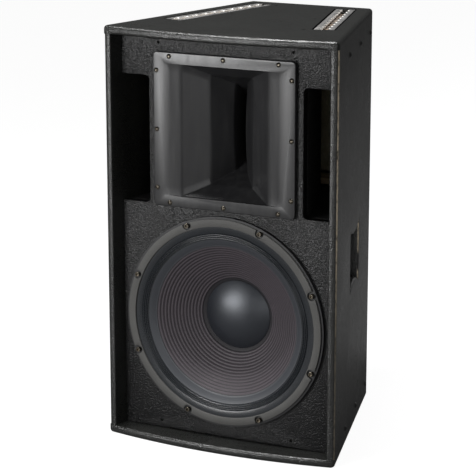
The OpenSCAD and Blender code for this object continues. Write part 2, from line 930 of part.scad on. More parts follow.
module surround() {
    color([0.1, 0.1, 0.1]) woofer_frame() rotate_extrude($fn = 128) polygon(concat(
        [[surround_out, -rim_t], [surround_out, -rim_t - 1], [surround_land, -rim_t - 1]],
        [for (i = [0 : 6]) surround_point(i, 0)],
        [for (i = [6 : -1 : 0]) surround_point(i, 1)],
        [[surround_land + 0.2, -rim_t]]
    ));
}

// Point i of 6 across the three small rolls of the surround.
function surround_point(i, t) = [
    surround_land - 1.5 - i * (surround_land - 1.5 - cone_r - 0.3) / 6,
    -6.7 + i * 0.2 + (i % 2 == 1 ? -1.2 : 0.4) + t
];

module cone() {
    color([0.3, 0.28, 0.28]) woofer_frame() rotate_extrude($fn = 128) polygon([
        [cone_r, cone_edge_z], [apron_in, apron_z], [rib_in_r, rib_in_z], [former_r, neck_z],
        [former_r, neck_z + cone_t], [rib_in_r, rib_in_z + cone_t],
        [apron_in, apron_z + cone_t], [cone_r, cone_edge_z + cone_t]
    ]);
}

module dust_cap() {
    cap_sphere = (cap_r * cap_r + cap_bulge * cap_bulge) / (2 * cap_bulge);
    // the cap's edge stands on the cone at radius cap_r
    edge_z = rib_in_z + (neck_z - rib_in_z) * (rib_in_r - cap_r) / (rib_in_r - former_r);
    color([0.17, 0.18, 0.2]) woofer_frame() translate([0, 0, edge_z - cap_sink]) intersection() {
        translate([0, 0, cap_sphere - cap_bulge]) difference() {
            sphere(r = cap_sphere, $fn = 96);
            sphere(r = cap_sphere - cap_wall, $fn = 96);
        }
        translate([0, 0, -cap_bulge - cut]) cylinder(r = cap_r, h = cap_bulge + cut, $fn = 96);
    }
}

module voice_coil() {
    color([0.7, 0.4, 0.2]) woofer_frame() {
        translate([0, 0, former_start]) ring(former_r, former_r - former_t, former_l);
        translate([0, 0, plate_z - winding_over])
            ring(former_r + winding_t, former_r, plate_t + 2 * winding_over);
    }
}

// ---------- horn and compression driver ----------

module horn_screw_grid() {
    for (x = [-1, 0, 1], z = [-1, 1]) {
        translate([x * horn_screw_row, z * horn_screw_z, 0]) children();
    }
    for (x = [-1, 1], z = [-1, 0, 1]) {
        translate([x * horn_screw_x, z * horn_screw_row, 0]) children();
    }
}

// A body whose half width follows one outline and whose half height follows another.
// Each outline is a list of [half size, depth].
module taper_body(widths, heights) {
    intersection() {
        translate([0, cab_h / 2, 0]) rotate([90, 0, 0]) linear_extrude(cab_h) mirrored_outline(widths);
        translate([-cab_h / 2, 0, 0]) rotate([90, 0, 90]) linear_extrude(cab_h)
            mirrored_outline(heights);
    }
}

module mirrored_outline(pairs) {
    n = len(pairs);
    polygon(concat(pairs, [for (i = [n - 1 : -1 : 0]) [-pairs[i][0], pairs[i][1]]]));
}

module horn() {
    color(horn_grey) horn_frame() difference() {
        union() {
            translate([0, 0, flange_front]) linear_extrude(flange_t)
                rounded_rect(horn_w, horn_h, horn_corner_r);
            translate([0, 0, flange_back]) linear_extrude(spigot_z - flange_back)
                square([2 * spigot_half, 2 * spigot_half_h], center = true);
            taper_body(
                [[mouth_half + 1.5 * horn_wall, mouth_z], [crease_half + 1.5 * horn_wall, crease_z],
                 [slot_half + horn_wall, slot_z + horn_wall], [throat_r + horn_wall, driver_z]],
                [[mouth_half_h + horn_wall, mouth_z], [crease_half_h + horn_wall, crease_z],
                 [slot_half_h + horn_wall, slot_z + horn_wall], [throat_r + horn_wall, driver_z]]
            );
            translate([0, 0, driver_z - adaptor_t]) cylinder(r = adaptor_r, h = adaptor_t, $fn = 96);
        }
        taper_body(
            [[band_half + 5.2, flange_front - cut], [band_half, flange_front],
             [mouth_half, mouth_z], [crease_half, crease_z],
             [slot_half, slot_z], [throat_r - 3, driver_z - 4]],
            [[mouth_half_h, flange_front - cut], [mouth_half_h, mouth_z],
             [crease_half_h, crease_z], [slot_half_h, slot_z], [throat_r - 3, driver_z - 4]]
        );
        translate([0, 0, driver_z - adaptor_t]) cylinder(r = throat_r, h = adaptor_t + cut);
        horn_screw_grid() translate([0, 0, flange_front - cut])
            cylinder(r = horn_screw_r + slide_gap, h = flange_t + 2 * cut, $fn = 24);
        driver_bolt_grid() translate([0, 0, driver_z - adaptor_t - cut])
            cylinder(r = driver_bolt_r + slide_gap, h = adaptor_t + 2 * cut, $fn = 24);
    }
}

module driver_bolt_grid() {
    for (i = [0 : 3]) {
        rotate([0, 0, 45 + i * 90]) translate([driver_bolt_circle / 2, 0, 0]) children();
    }
}

module horn_seal() {
    color([0.08, 0.08, 0.08]) horn_frame() translate([0, 0, flange_back]) difference() {
        linear_extrude(seal_t) square([horn_w - 6, horn_h - 6], center = true);
        translate([0, 0, -cut]) linear_extrude(seal_t + 2 * cut)
            square([2 * horn_hole_half, 2 * horn_hole_half_h], center = true);
        horn_screw_grid() translate([0, 0, -cut])
            cylinder(r = horn_screw_r + slide_gap, h = seal_t + 2 * cut, $fn = 24);
    }
}

module horn_screws() {
    color(steel) horn_frame() horn_screw_grid() translate([0, 0, flange_front])
        mirror([0, 0, 1])
            dome_screw(horn_head_r, horn_head_h, horn_screw_r, flange_t + seal_t + baffle_t - 4);
}

module driver_bolts() {
    color(zinc) horn_frame() driver_bolt_grid() translate([0, 0, driver_z - adaptor_t]) {
        translate([0, 0, -4]) cylinder(r = 5.5, h = 4, $fn = 6);
        cylinder(r = driver_bolt_r, h = adaptor_t + driver_plate_t - 1, $fn = 24);
    }
}

module driver_front_plate() {
    color(black_steel) horn_frame() translate([0, 0, driver_z]) difference() {
        ring(driver_r, throat_r, driver_plate_t);
        driver_bolt_grid() translate([0, 0, -cut])
            cylinder(r = driver_bolt_r + slide_gap, h = driver_plate_t + cut, $fn = 24);
    }
}

module driver_magnet() {
    color([0.2, 0.2, 0.2]) horn_frame() translate([0, 0, driver_z + driver_plate_t])
        ring(driver_r - 5, 50, driver_magnet_t);
}

// Pole piece with the phase plug: its back follows the dome, and the throat runs through it.
module driver_pole() {
    low = driver_z + driver_plate_t;
    color(steel) horn_frame() difference() {
        intersection() {
            translate([0, 0, low]) cylinder(r = pole_r, h = dome_base - low + dome_r, $fn = 96);
            translate([0, 0, dome_centre]) sphere(r = dome_sphere_r - plug_gap, $fn = 128);
        }
        translate([0, 0, low - cut]) cylinder(r = throat_r, h = 14 + cut);
        translate([0, 0, low + 13.9]) cylinder(r1 = throat_r, r2 = 6, h = 50);
    }
}

module driver_gap_plate() {
    color(steel) horn_frame() translate([0, 0, gap_plate_back - gap_plate_t])
        ring(driver_r, dome_r + 1.4, gap_plate_t);
}

module driver_clamp() {
    color([0.25, 0.25, 0.27]) horn_frame() translate([0, 0, gap_plate_back])
        ring(clamp_out, clamp_in, 4);
}

module driver_surround() {
    color([0.6, 0.6, 0.4]) horn_frame() translate([0, 0, dome_base])
        ring(clamp_in, dome_r + dome_t + 0.4, 0.5);
}

module driver_diaphragm() {
    color([0.65, 0.67, 0.7]) horn_frame() {
        intersection() {
            translate([0, 0, dome_centre]) difference() {
                sphere(r = dome_sphere_r + dome_t, $fn = 128);
                sphere(r = dome_sphere_r, $fn = 128);
            }
            translate([0, 0, dome_base]) cylinder(r = dome_r + dome_t, h = dome_r, $fn = 96);
        }
        translate([0, 0, dome_base - 12]) ring(dome_r + dome_t, dome_r, 12);
    }
}

module driver_cover() {
    color(black_steel) horn_frame() translate([0, 0, gap_plate_back]) difference() {
        union() {
            cylinder(r = cover_out, h = cover_l, $fn = 96);
            translate([-14, cover_out - 4, 6]) cube([28, 10, 14]);
            for (x = [-8, 8]) translate([x - 3, cover_out + 6, 12]) cube([6, 10, 1]);
        }
        translate([0, 0, -cut]) cylinder(r = cover_out - 3, h = cover_l - 3 + cut, $fn = 96);
    }
}

// ---------- rear connectors and crossover ----------

function dish_screw_places() = [
    for (x = [-1, 0, 1], z = [-1, 1])
        [x * (dish_w / 2 + dish_flange / 2), z * (dish_h / 2 + dish_flange / 2)]
];

module input_dish() {
    color([0.08, 0.08, 0.08]) rear_frame(dish_z) translate([0, 0, dish_head_t]) difference() {
        union() {
            linear_extrude(dish_flange_t)
                rounded_rect(dish_w + 2 * dish_flange, dish_h + 2 * dish_flange, 5);
            linear_extrude(dish_depth) rounded_rect(dish_w, dish_h, dish_corner_r);
        }
        translate([0, 0, -cut]) linear_extrude(dish_depth - dish_wall + cut)
            rounded_rect(dish_w - 2 * dish_wall, dish_h - 2 * dish_wall, dish_corner_r - dish_wall);
        for (p = dish_screw_places()) {
            translate([p[0], p[1], -cut])
                cylinder(r = dish_screw_r + slide_gap, h = dish_flange_t + 2 * cut, $fn = 24);
        }
        for (x = [-1, 1]) {
            translate([x * socket_x, 0, 0])
                cylinder(r = socket_hole_r + socket_wall + slide_gap, h = dish_depth + cut, $fn = 64);
        }
    }
}

// Two round speaker sockets: square face on the dish floor, ring-shaped well with a keyed hub.
module input_sockets() {
    face = dish_head_t + dish_depth - dish_wall;
    color([0.1, 0.1, 0.12]) rear_frame(dish_z) for (x = [-1, 1]) {
        translate([x * socket_x, 0, face]) difference() {
            union() {
                translate([0, 0, -socket_plate_t]) linear_extrude(socket_plate_t)
                    rounded_rect(34, 40, 3);
                cylinder(r = socket_hole_r + socket_wall, h = socket_l, $fn = 64);
            }
            translate([0, 0, -socket_plate_t - cut]) difference() {
                cylinder(r = socket_hole_r, h = socket_well + cut, $fn = 64);
                translate([0, 0, cut]) cylinder(r = socket_hub_r, h = socket_well + cut, $fn = 48);
            }
        }
    }
}

module input_screws() {
    color(zinc) rear_frame(dish_z) for (p = dish_screw_places()) {
        translate([p[0], p[1], dish_head_t]) mirror([0, 0, 1])
            dome_screw(3, dish_head_t, dish_screw_r, panel_t - dish_head_t - 3);
    }
}

module crossover_board() {
    color([0.1, 0.3, 0.15]) translate([-board_w / 2, front_y + board_face, board_z])
        cube([board_w, board_t, board_h]);
    color(zinc) for (x = [-1, 1], z = [board_margin, board_h - board_margin]) {
        translate([x * (board_w / 2 - board_margin), front_y + rear_in, board_z + z])
            rotate([90, 0, 0]) cylinder(r = 4, h = standoff_l, $fn = 24);
    }
}

// Coils, capacitors and resistors, standing on the front of the board.
module crossover_parts() {
    translate([0, front_y + board_face, board_z]) {
        color([0.7, 0.35, 0.15]) for (c = [[-42, 36, 26, 24], [36, 92, 20, 18]]) {
            translate([c[0], 0, c[1]]) rotate([90, 0, 0]) ring(c[2], 8, c[3]);
        }
        color([0.75, 0.65, 0.2]) for (i = [0 : 2]) {
            translate([10, -9, 18 + i * 22]) rotate([0, 90, 0]) cylinder(r = 9, h = 44, $fn = 32);
        }
        color([0.85, 0.85, 0.8]) for (i = [0 : 1]) {
            translate([-62, -10, 84 + i * 20]) cube([48, 10, 10]);
        }
    }
}

// Rings of points swept along a route, closed at both ends.
module lead(route) {
    n = len(route);
    last = lead_sides - 1;
    points = [for (i = [0 : n - 1]) for (k = [0 : last]) ring_point(route, i, k * 360 / lead_sides)];
    sheath = [for (i = [0 : n - 2]) for (k = [0 : last])
        let (a = i * lead_sides + k, b = i * lead_sides + (k + 1) % lead_sides)
            [a, b, b + lead_sides, a + lead_sides]];
    near = [for (k = [last : -1 : 0]) k];
    far = [for (k = [0 : last]) (n - 1) * lead_sides + k];
    polyhedron(points = points, faces = concat(sheath, [near], [far]), convexity = 4);
}

function unit(v) = v / norm(v);
function direction(route, i) =
    unit(route[min(i + 1, len(route) - 1)] - route[max(i - 1, 0)]);
function across(d) = unit(cross(d, abs(d[0]) < 0.9 ? [1, 0, 0] : [0, 0, 1]));
function ring_point(route, i, angle) =
    let (d = direction(route, i), u = across(d), v = cross(d, u))
        route[i] + [0, front_y, 0] + lead_r * (cos(angle) * u + sin(angle) * v);

module internal_leads() {
    color([0.7, 0.1, 0.1]) for (route = lead_routes) lead(route);
}

top_panel();
bottom_panel();
left_side_panel();
right_side_panel();
rear_panel();
baffle();
lower_shelf();
upper_shelf();
left_duct_wall();
right_duct_wall();
baffle_cleats();
rear_pad();
left_pads();
right_pads();
grille_inserts();
track_top_left();
track_top_right();
track_bottom_left();
track_bottom_right();
track_screws();
rig_bracket_top_left();
rig_bracket_top_right();
rig_bracket_bottom_left();
rig_bracket_bottom_right();
side_bolts();
panel_bolts();
left_handle_cup();
right_handle_cup();
handle_screws();
woofer_basket();
woofer_gasket();
woofer_screws();
woofer_tee_nuts();
woofer_terminals();
top_plate();
woofer_magnet();
pole_piece();
spider();
surround();
cone();
dust_cap();
voice_coil();
horn();
horn_seal();
horn_screws();
driver_bolts();
driver_front_plate();
driver_magnet();
driver_pole();
driver_gap_plate();
driver_surround();
driver_clamp();
driver_cover();
driver_diaphragm();
input_dish();
input_sockets();
input_screws();
crossover_board();
crossover_parts();
internal_leads();
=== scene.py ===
import json
from itertools import product
from math import acos, atan, cos, hypot, pi, radians, sin, sqrt, tan

import bmesh
import bpy
from mathutils import Matrix, Vector, noise


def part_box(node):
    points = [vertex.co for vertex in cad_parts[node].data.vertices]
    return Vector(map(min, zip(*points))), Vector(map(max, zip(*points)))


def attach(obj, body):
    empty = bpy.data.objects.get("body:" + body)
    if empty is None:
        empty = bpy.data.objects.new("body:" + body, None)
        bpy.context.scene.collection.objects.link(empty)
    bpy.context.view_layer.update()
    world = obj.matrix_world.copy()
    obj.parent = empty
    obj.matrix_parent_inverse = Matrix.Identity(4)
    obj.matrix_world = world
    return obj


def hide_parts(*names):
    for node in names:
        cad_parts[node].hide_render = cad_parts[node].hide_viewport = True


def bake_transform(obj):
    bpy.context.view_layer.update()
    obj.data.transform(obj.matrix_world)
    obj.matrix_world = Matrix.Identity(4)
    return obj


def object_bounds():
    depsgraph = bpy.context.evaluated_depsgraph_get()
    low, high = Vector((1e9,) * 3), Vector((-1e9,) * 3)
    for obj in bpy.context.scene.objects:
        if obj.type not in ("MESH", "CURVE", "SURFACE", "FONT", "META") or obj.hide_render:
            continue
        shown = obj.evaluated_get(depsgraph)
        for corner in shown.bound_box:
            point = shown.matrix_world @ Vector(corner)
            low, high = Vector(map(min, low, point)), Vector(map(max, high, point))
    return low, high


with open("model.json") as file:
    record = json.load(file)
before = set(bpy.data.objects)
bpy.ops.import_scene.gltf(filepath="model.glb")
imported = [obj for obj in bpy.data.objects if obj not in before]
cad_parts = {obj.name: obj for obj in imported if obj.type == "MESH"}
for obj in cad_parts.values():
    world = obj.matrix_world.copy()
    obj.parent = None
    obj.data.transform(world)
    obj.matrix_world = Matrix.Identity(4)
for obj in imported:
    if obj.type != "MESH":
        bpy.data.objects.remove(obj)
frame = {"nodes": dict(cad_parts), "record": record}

cad_lo, cad_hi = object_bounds()

MM = 0.001
FULL = 2 * pi
SHIFT = Matrix.Translation
MIRROR = Matrix.Scale(-1, 4, (1, 0, 0))     # right side to left side
FLIP = Matrix.Scale(-1, 4, (0, 0, 1))       # top to bottom
STAY = Matrix.Identity(4)

# ---------------------------------------------------------------- places from the frame

side_lo, side_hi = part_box("right_side_panel")
rear_lo, rear_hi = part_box("rear_panel")
top_lo, top_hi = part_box("top_panel")
baffle_lo, baffle_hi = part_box("baffle")
horn_lo, horn_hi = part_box("horn")
basket_lo, basket_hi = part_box("woofer_basket")
gasket_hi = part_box("woofer_gasket")[1]
magnet_lo, magnet_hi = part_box("woofer_magnet")
dish_lo, dish_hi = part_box("input_dish")

front_y = side_lo.y
back_y = top_hi.y
half_front = side_hi.x
panel_t = top_hi.z - top_lo.z
taper = (half_front - rear_hi.x) / (rear_lo.y - front_y)
side_angle = atan(taper)
bow = front_y - top_lo.y
bow_r = half_front ** 2 / (2 * bow) + bow / 2
baffle_y = baffle_lo.y
baffle_back = baffle_hi.y
woofer_z = (magnet_lo.z + magnet_hi.z) / 2
rim_r = (basket_hi.x - basket_lo.x) / 2
horn_z = (horn_lo.z + horn_hi.z) / 2
horn_front = horn_lo.y
horn_half = horn_hi.x
horn_half_h = (horn_hi.z - horn_lo.z) / 2


def half_out(y):
    """Half the cabinet's width over the side panels at depth y."""
    return half_front - (y - front_y) * taper


def half_in(y):
    """The same between the side panels' inner faces."""
    return half_out(y) - panel_t / cos(side_angle)


# ---------------------------------------------------------------- camera, light and floor

FILL_LIGHT = 0.10        # strength of the even light on the object
SEEN_LIGHT = 1.0         # strength of the white ground that the camera sees


def look_camera():
    """The photographer's place: to the right, a little above, with a long lens."""
    data = bpy.data.cameras.new("camera")
    cam = linked("camera", data)
    data.lens = 154.3
    data.sensor_width = 36
    data.clip_end = 100
    azimuth = radians(25.56)
    pitch = radians(14.32)
    forward = Vector((-sin(azimuth) * cos(pitch),
                      cos(azimuth) * cos(pitch), -sin(pitch)))
    cam.location = (1.537, front_y - 3.132, 1.287)
    cam.rotation_euler = forward.to_track_quat("-Z", "Y").to_euler()
    bpy.context.scene.camera = cam


def area_light(name, place, target, size, power):
    data = bpy.data.lights.new(name, "AREA")
    data.shape = "RECTANGLE"
    data.size, data.size_y = size
    data.energy = power
    lamp = linked(name, data)
    lamp.location = place
    lamp.visible_camera = False
    lamp.rotation_euler = (Vector(target) - Vector(place)).to_track_quat("-Z", "Y").to_euler()


def studio():
    """Four softboxes, a faint even fill, and a white ground and floor for the camera."""
    middle = (0, front_y, 0.45)
    area_light("key_softbox", (-1.1, -2.45, 0.78), middle, (0.85, 0.85), 50)
    area_light("right_softbox", (2.2, -3.1, 0.85), middle, (1.9, 1.9), 23)
    area_light("top_softbox", (-0.35, -0.38, 2.4), (-0.35, front_y, 0.7), (1.3, 0.18), 68)
    area_light("back_softbox", (0.4, 3.3, 0.7), (0.4, 3.3, 0), (1.6, 5.0), 15)
    world = bpy.data.worlds.new("studio_world")
    bpy.context.scene.world = world
    world.use_nodes = True
    tree = world.node_tree
    tree.nodes.clear()
    path = tree.nodes.new("ShaderNodeLightPath")
    mix = tree.nodes.new("ShaderNodeMixShader")
    out = tree.nodes.new("ShaderNodeOutputWorld")
    tree.links.new(path.outputs["Is Camera Ray"], mix.inputs[0])
    for socket, strength in ((1, FILL_LIGHT), (2, SEEN_LIGHT)):
        sky = tree.nodes.new("ShaderNodeBackground")
        sky.inputs["Color"].default_value = (1, 1, 1, 1)
        sky.inputs["Strength"].default_value = strength
        tree.links.new(sky.outputs[0], mix.inputs[socket])
    tree.links.new(mix.outputs[0], out.inputs[0])
    bpy.context.scene.view_settings.view_transform = "Standard"
    bpy.ops.mesh.primitive_plane_add(size=40, location=(0, 0, cad_lo.z))
    floor = bpy.context.object
    floor.name = "studio_floor"
    floor.data.materials.append(floor_material())


# ---------------------------------------------------------------- material helpers

class Nodes:
    """Short calls for building one material's node tree around a Principled shader."""

    def __init__(self, name, rough, color, metal=0.0, gloss=0.5):
        self.mat = bpy.data.materials.new(name)
        self.mat.use_nodes = True
        self.tree = self.mat.node_tree
        self.shader = self.tree.nodes["Principled BSDF"]
        self.shader.inputs["Roughness"].default_value = rough
        self.shader.inputs["Metallic"].default_value = metal
        self.shader.inputs["Specular IOR Level"].default_value = gloss
        self.shader.inputs["Base Color"].default_value = (*color, 1)
        self.mat.diffuse_color = (*color, 1)
        self.coord = self.tree.nodes.new("ShaderNodeTexCoord").outputs["Object"]

    def add(self, kind, **settings):
        node = self.tree.nodes.new("ShaderNode" + kind)
        for key, value in settings.items():
            setattr(node, key, value)
        return node

    def link(self, source, target):
        self.tree.links.new(source, target)

    def pattern(self, node, output, vector=None, **inputs):
        """One output of a node that is fed with the surface point, or with another vector."""
        for key, value in inputs.items():
            node.inputs[key].default_value = value
        self.link(vector or self.coord, node.inputs["Vector"])
        return node.outputs[output]

    def stretched(self, scale, turn=(0, 0, 0)):
        return self.pattern(self.add("Mapping"), "Vector", Scale=scale, Rotation=turn)

    def noise(self, scale, detail=2.0, rough=0.5, vector=None):
        return self.pattern(self.add("TexNoise"), "Fac", vector, Scale=scale, Detail=detail, Roughness=rough)

    def cells(self, scale):
        return self.pattern(self.add("TexVoronoi"), "Distance", Scale=scale)

    def bands(self, scale, direction, distortion):
        node = self.add("TexWave", bands_direction=direction)
        return self.pattern(node, "Fac", Scale=scale, Distortion=distortion)

    def math(self, operation, a, b=None, clamp=False):
        node = self.add("Math", operation=operation, use_clamp=clamp)
        for socket, value in zip(node.inputs, (a, b)):
            if value is None:
                continue
            if isinstance(value, (int, float)):
                socket.default_value = value
            else:
                self.link(value, socket)
        return node.outputs[0]

    def ranged(self, value, low=0.3, high=0.7, to_low=0.0, to_high=1.0):
        node = self.add("MapRange")
        self.link(value, node.inputs["Value"])
        for key, number in (("From Min", low), ("From Max", high),
                            ("To Min", to_low), ("To Max", to_high)):
            node.inputs[key].default_value = number
        return node.outputs["Result"]

    def cloudy(self, value, to_low, to_high):
        """A noise stretched over its usual range to run from to_low to to_high."""
        return self.ranged(value, 0.3, 0.7, to_low, to_high)

    def blend(self, factor, a, b):
        node = self.add("Mix", data_type="RGBA")
        self.link(factor, node.inputs[0])
        for socket, value in ((node.inputs[6], a), (node.inputs[7], b)):
            if isinstance(value, tuple):
                socket.default_value = (*value, 1)
            else:
                self.link(value, socket)
        return node.outputs[2]

    def patch(self, value, low, high, amount, color, other):
        """Blends towards the other colour, by up to amount, where value goes from low to high."""
        return self.blend(self.ranged(value, low, high, 0.0, amount), color, other)

    def part(self, axis, vector=None):
        """One coordinate of the surface point, in metres, or of another vector."""
        return self.pattern(self.add("SeparateXYZ"), axis, vector)

    def bump(self, height, distance, strength):
        node = self.add("Bump")
        node.inputs["Strength"].default_value = strength
        node.inputs["Distance"].default_value = distance
        self.link(height, node.inputs["Height"])
        return node.outputs["Normal"]

    def finish(self, color=None, rough=None, normal=None, metal=None):
        for key, source in (("Base Color", color), ("Roughness", rough), ("Normal", normal),
                            ("Metallic", metal)):
            if source is not None:
                self.link(source, self.shader.inputs[key])
        return self.mat


def toned(tone, factor):
    return tuple(c * factor for c in tone)


def floor_material():
    """A pale floor that the camera sees as a white sweep, with the object's soft shadow on it."""
    m = Nodes("pale_floor", 0.8, (0.14, 0.14, 0.14))
    seen = m.add("LightPath").outputs["Is Camera Ray"]
    glow = m.math("ADD", m.math("MULTIPLY", seen, 0.92), 0.02)
    m.link(glow, m.shader.inputs["Emission Strength"])
    m.shader.inputs["Emission Color"].default_value = (1, 1, 1, 1)
    tone = m.noise(3.0, 3)
    return m.finish(color=m.blend(tone, (0.13, 0.13, 0.13), (0.15, 0.15, 0.15)))


def textured_paint(name, tone, peel, gloss, wear_and_highlight=True):
    """Sprayed black with an orange-peel grain, pale beige where the mesh is marked: rubbed paint and painted
    highlight.
    """
    m = Nodes(name, 0.34, tone, gloss=gloss)
    near = m.cells(380)
    drops = m.math("SUBTRACT", 1.0, m.math("MULTIPLY", near, near))
    lumps = m.noise(430, 2, 0.5)
    fine = m.noise(900, 3, 0.6)
    grain = m.math("ADD", m.math("MULTIPLY", drops, 0.7), m.math("MULTIPLY", lumps, 1.5))
    grain = m.math("ADD", grain, m.math("MULTIPLY", fine, 0.35))
    patches = m.noise(9, 4, 0.6)
    speckle = m.noise(650, 2, 0.7)
    color = m.blend(m.ranged(speckle, 0.35, 0.7), toned(tone, 0.6), toned(tone, 1.5))
    color = m.patch(patches, 0.3, 0.7, 0.4, color, toned(tone, 1.3))
    rough = m.math("ADD", m.ranged(speckle, 0.3, 0.75, 0.22, 0.36), m.cloudy(patches, -0.02, 0.06))
    if wear_and_highlight:
        mark = m.add("Attribute", attribute_name="wear_and_highlight").outputs["Fac"]
        wear_and_glint_noise = m.noise(1.0, 5, 0.7, m.stretched((260, 260, 130)))
        reach = m.math("MULTIPLY", m.math("MULTIPLY", mark, 2.0, clamp=True),
                       m.ranged(wear_and_glint_noise, 0.36, 0.50), clamp=True)
        # pale beige where marked: rubbed paint, and painted highlight on the front corner and the hand
        # opening's rim
        color = m.blend(reach, color, (0.72, 0.61, 0.45))
        rough = m.math("ADD", rough, m.math("MULTIPLY", reach, 0.3))
    return m.finish(color=color, rough=rough, normal=m.bump(grain, 0.0011 * peel, 0.8))


def horn_plastic(name):
    m = Nodes(name, 0.34, (0.014, 0.014, 0.015))
    grain = m.noise(1500, 3, 0.6)
    cloud = m.noise(14, 4, 0.6)
    flow = m.noise(1.0, 4, 0.6, m.stretched((90, 90, 7)))
    color = m.blend(m.ranged(cloud), (0.011, 0.011, 0.012), (0.016, 0.016, 0.017))
    color = m.patch(flow, 0.45, 0.8, 0.5, color, (0.034, 0.034, 0.034))
    rough = m.math("ADD", m.cloudy(grain, 0.29, 0.37), m.cloudy(flow, -0.03, 0.05))
    return m.finish(color=color, rough=rough, normal=m.bump(grain, 0.00006, 0.7))


def rubbery(name, tone, scale, depth, rough):
    m = Nodes(name, rough, tone)
    pores = m.cells(scale)
    fine = m.noise(scale * 1.5, 3, 0.6)
    wide = m.noise(25, 4)
    color = m.blend(m.ranged(fine), toned(tone, 0.8), toned(tone, 1.2))
    color = m.patch(wide, 0.4, 0.75, 0.3, color, toned(tone, 1.5))
    gloss = m.ranged(pores, 0.0, 0.6, rough - 0.08, rough + 0.06)
    return m.finish(color=color, rough=gloss, normal=m.bump(m.math("ADD", pores, fine), depth, 0.8))


def cone_paper(name):
    """Pressed paper: purple-brown ribs with painted shade in their valleys, between a sealed, bluer apron
    and a neck darkened with painted shade round the dust cap.
    """
    m = Nodes(name, 0.5, (0.04, 0.036, 0.04))
    fibres = m.noise(420, 5, 0.7)
    strands = m.noise(1.0, 3, 0.6, m.stretched((260, 700, 900), (0.4, 0.2, 0.9)))
    cloud = m.noise(18, 4, 0.6)
    color = m.blend(m.ranged(fibres, 0.35, 0.7), (0.042, 0.033, 0.040), (0.068, 0.054, 0.064))
    color = m.patch(strands, 0.55, 0.75, 0.5, color, (0.072, 0.062, 0.064))
    color = m.patch(cloud, 0.3, 0.75, 0.35, color, (0.030, 0.028, 0.034))
    across = m.math("POWER", m.part(0), 2.0)
    up = m.math("POWER", m.math("SUBTRACT", m.part(2), woofer_z), 2.0)
    radius = m.math("POWER", m.math("ADD", across, up), 0.5)
    sealed = m.ranged(radius, 0.1388, 0.1396)
    color = m.blend(m.math("MULTIPLY", sealed, 0.85), color, (0.032, 0.037, 0.043))
    # painted shade: the neck darkens to near black round the dust cap
    neck_shade = m.ranged(radius, 0.0700, 0.0715, 1.0, 0.0)
    color = m.blend(m.math("MULTIPLY", neck_shade, 0.85), color, (0.010, 0.010, 0.012))
    low = m.noise(1.0, 3, 0.6, m.stretched((500, 500, 500)))
    rough = m.math("SUBTRACT", m.cloudy(low, 0.54, 0.68), m.math("MULTIPLY", sealed, 0.16))
    # painted shade in the valleys between the ribs
    groove_shade = m.add("Attribute", attribute_name="groove_shade").outputs["Fac"]
    color = m.blend(m.math("MULTIPLY", groove_shade, 0.85, clamp=True), color, (0.006, 0.005, 0.006))
    return m.finish(color=color, rough=rough,
                    normal=m.bump(m.math("ADD", fibres, strands), 0.00018, 0.8))


def woven(name, tone, pitch_mm, depth, rough, gloss=0.5, tint=(1.0, 1.0, 1.0, 1.0)):
    """A square cloth weave across X and Z, with a little unevenness."""
    m = Nodes(name, rough, tone, gloss=gloss)
    m.shader.inputs["Specular Tint"].default_value = tint
    scale = 500 / pitch_mm
    warp = m.bands(scale, "X", 0.4)
    weft = m.bands(scale, "Z", 0.4)
    weave = m.math("MULTIPLY", warp, weft)
    cloud = m.noise(30, 4, 0.6)
    color = m.blend(m.ranged(weave, 0.0, 0.8), toned(tone, 0.6), toned(tone, 1.25))
    color = m.patch(cloud, 0.35, 0.75, 0.4, color, toned(tone, 1.3))
    shine = m.ranged(weave, 0.0, 1.0, rough + 0.06, rough - 0.04)
    return m.finish(color=color, rough=shine, normal=m.bump(weave, depth, 0.8))


def metal(name, tone, rough, brushed, floor_tint_depths=None):
    """Bare metal with a drawn grain and faint spots. In a track it turns darker brown towards the channel
    floor, and its upright walls are painted near white and matt as painted highlight on the teeth.
    """
    m = Nodes(name, rough, tone, metal=1.0)
    grain = m.noise(1.0, 4, 0.6, m.stretched(brushed))
    spots = m.noise(160, 5, 0.7)
    wide = m.noise(20, 3)
    color = m.blend(m.ranged(grain), toned(tone, 0.86), tone)
    color = m.patch(spots, 0.58, 0.72, 0.5, color, toned(tone, 0.55))
    gloss = m.math("ADD", m.cloudy(grain, rough - 0.06, rough + 0.1),
                   m.cloudy(wide, -0.03, 0.06))
    normal = m.bump(grain, 0.00005, 0.6)
    shine = None
    if floor_tint_depths is not None:
        # darker brown towards the channel floor
        deep = m.math("MULTIPLY", m.ranged(m.part(2), floor_tint_depths[0], floor_tint_depths[1], 1.0, 0.0),
                      m.ranged(m.noise(70, 4), 0.25, 0.6, 0.55, 1.0), clamp=True)
        color = m.blend(deep, color, (0.21, 0.152, 0.108))
        gloss = m.math("ADD", gloss, m.math("MULTIPLY", deep, 0.4), clamp=True)
        # painted highlight: the upright walls of the slot and teeth turn near white and matt
        upright = m.part(2, m.add("NewGeometry").outputs["Normal"])
        wall = m.ranged(m.math("ABSOLUTE", upright), 0.4, 0.75, 1.0, 0.0)
        wall = m.math("MULTIPLY", wall, m.math("SUBTRACT", 1.0, deep, clamp=True), clamp=True)
        color = m.blend(wall, color, (0.92, 0.91, 0.88))
        dull = m.math("ADD", m.math("MULTIPLY", deep, 0.8), m.math("MULTIPLY", wall, 0.8), clamp=True)
        shine = m.math("SUBTRACT", 1.0, dull, clamp=True)
    return m.finish(color=color, rough=gloss, normal=normal, metal=shine)


def moulded(name, tone, rough, grain_scale=1200, depth=0.00006, gloss=0.5):
    m = Nodes(name, rough, tone, gloss=gloss)
    grain = m.noise(grain_scale, 3, 0.6)
    cloud = m.noise(22, 4)
    color = m.blend(m.ranged(cloud), toned(tone, 0.85), toned(tone, 1.2))
    dull = m.cloudy(grain, rough - 0.06, rough + 0.08)
    return m.finish(color=color, rough=dull, normal=m.bump(grain, depth, 0.7))


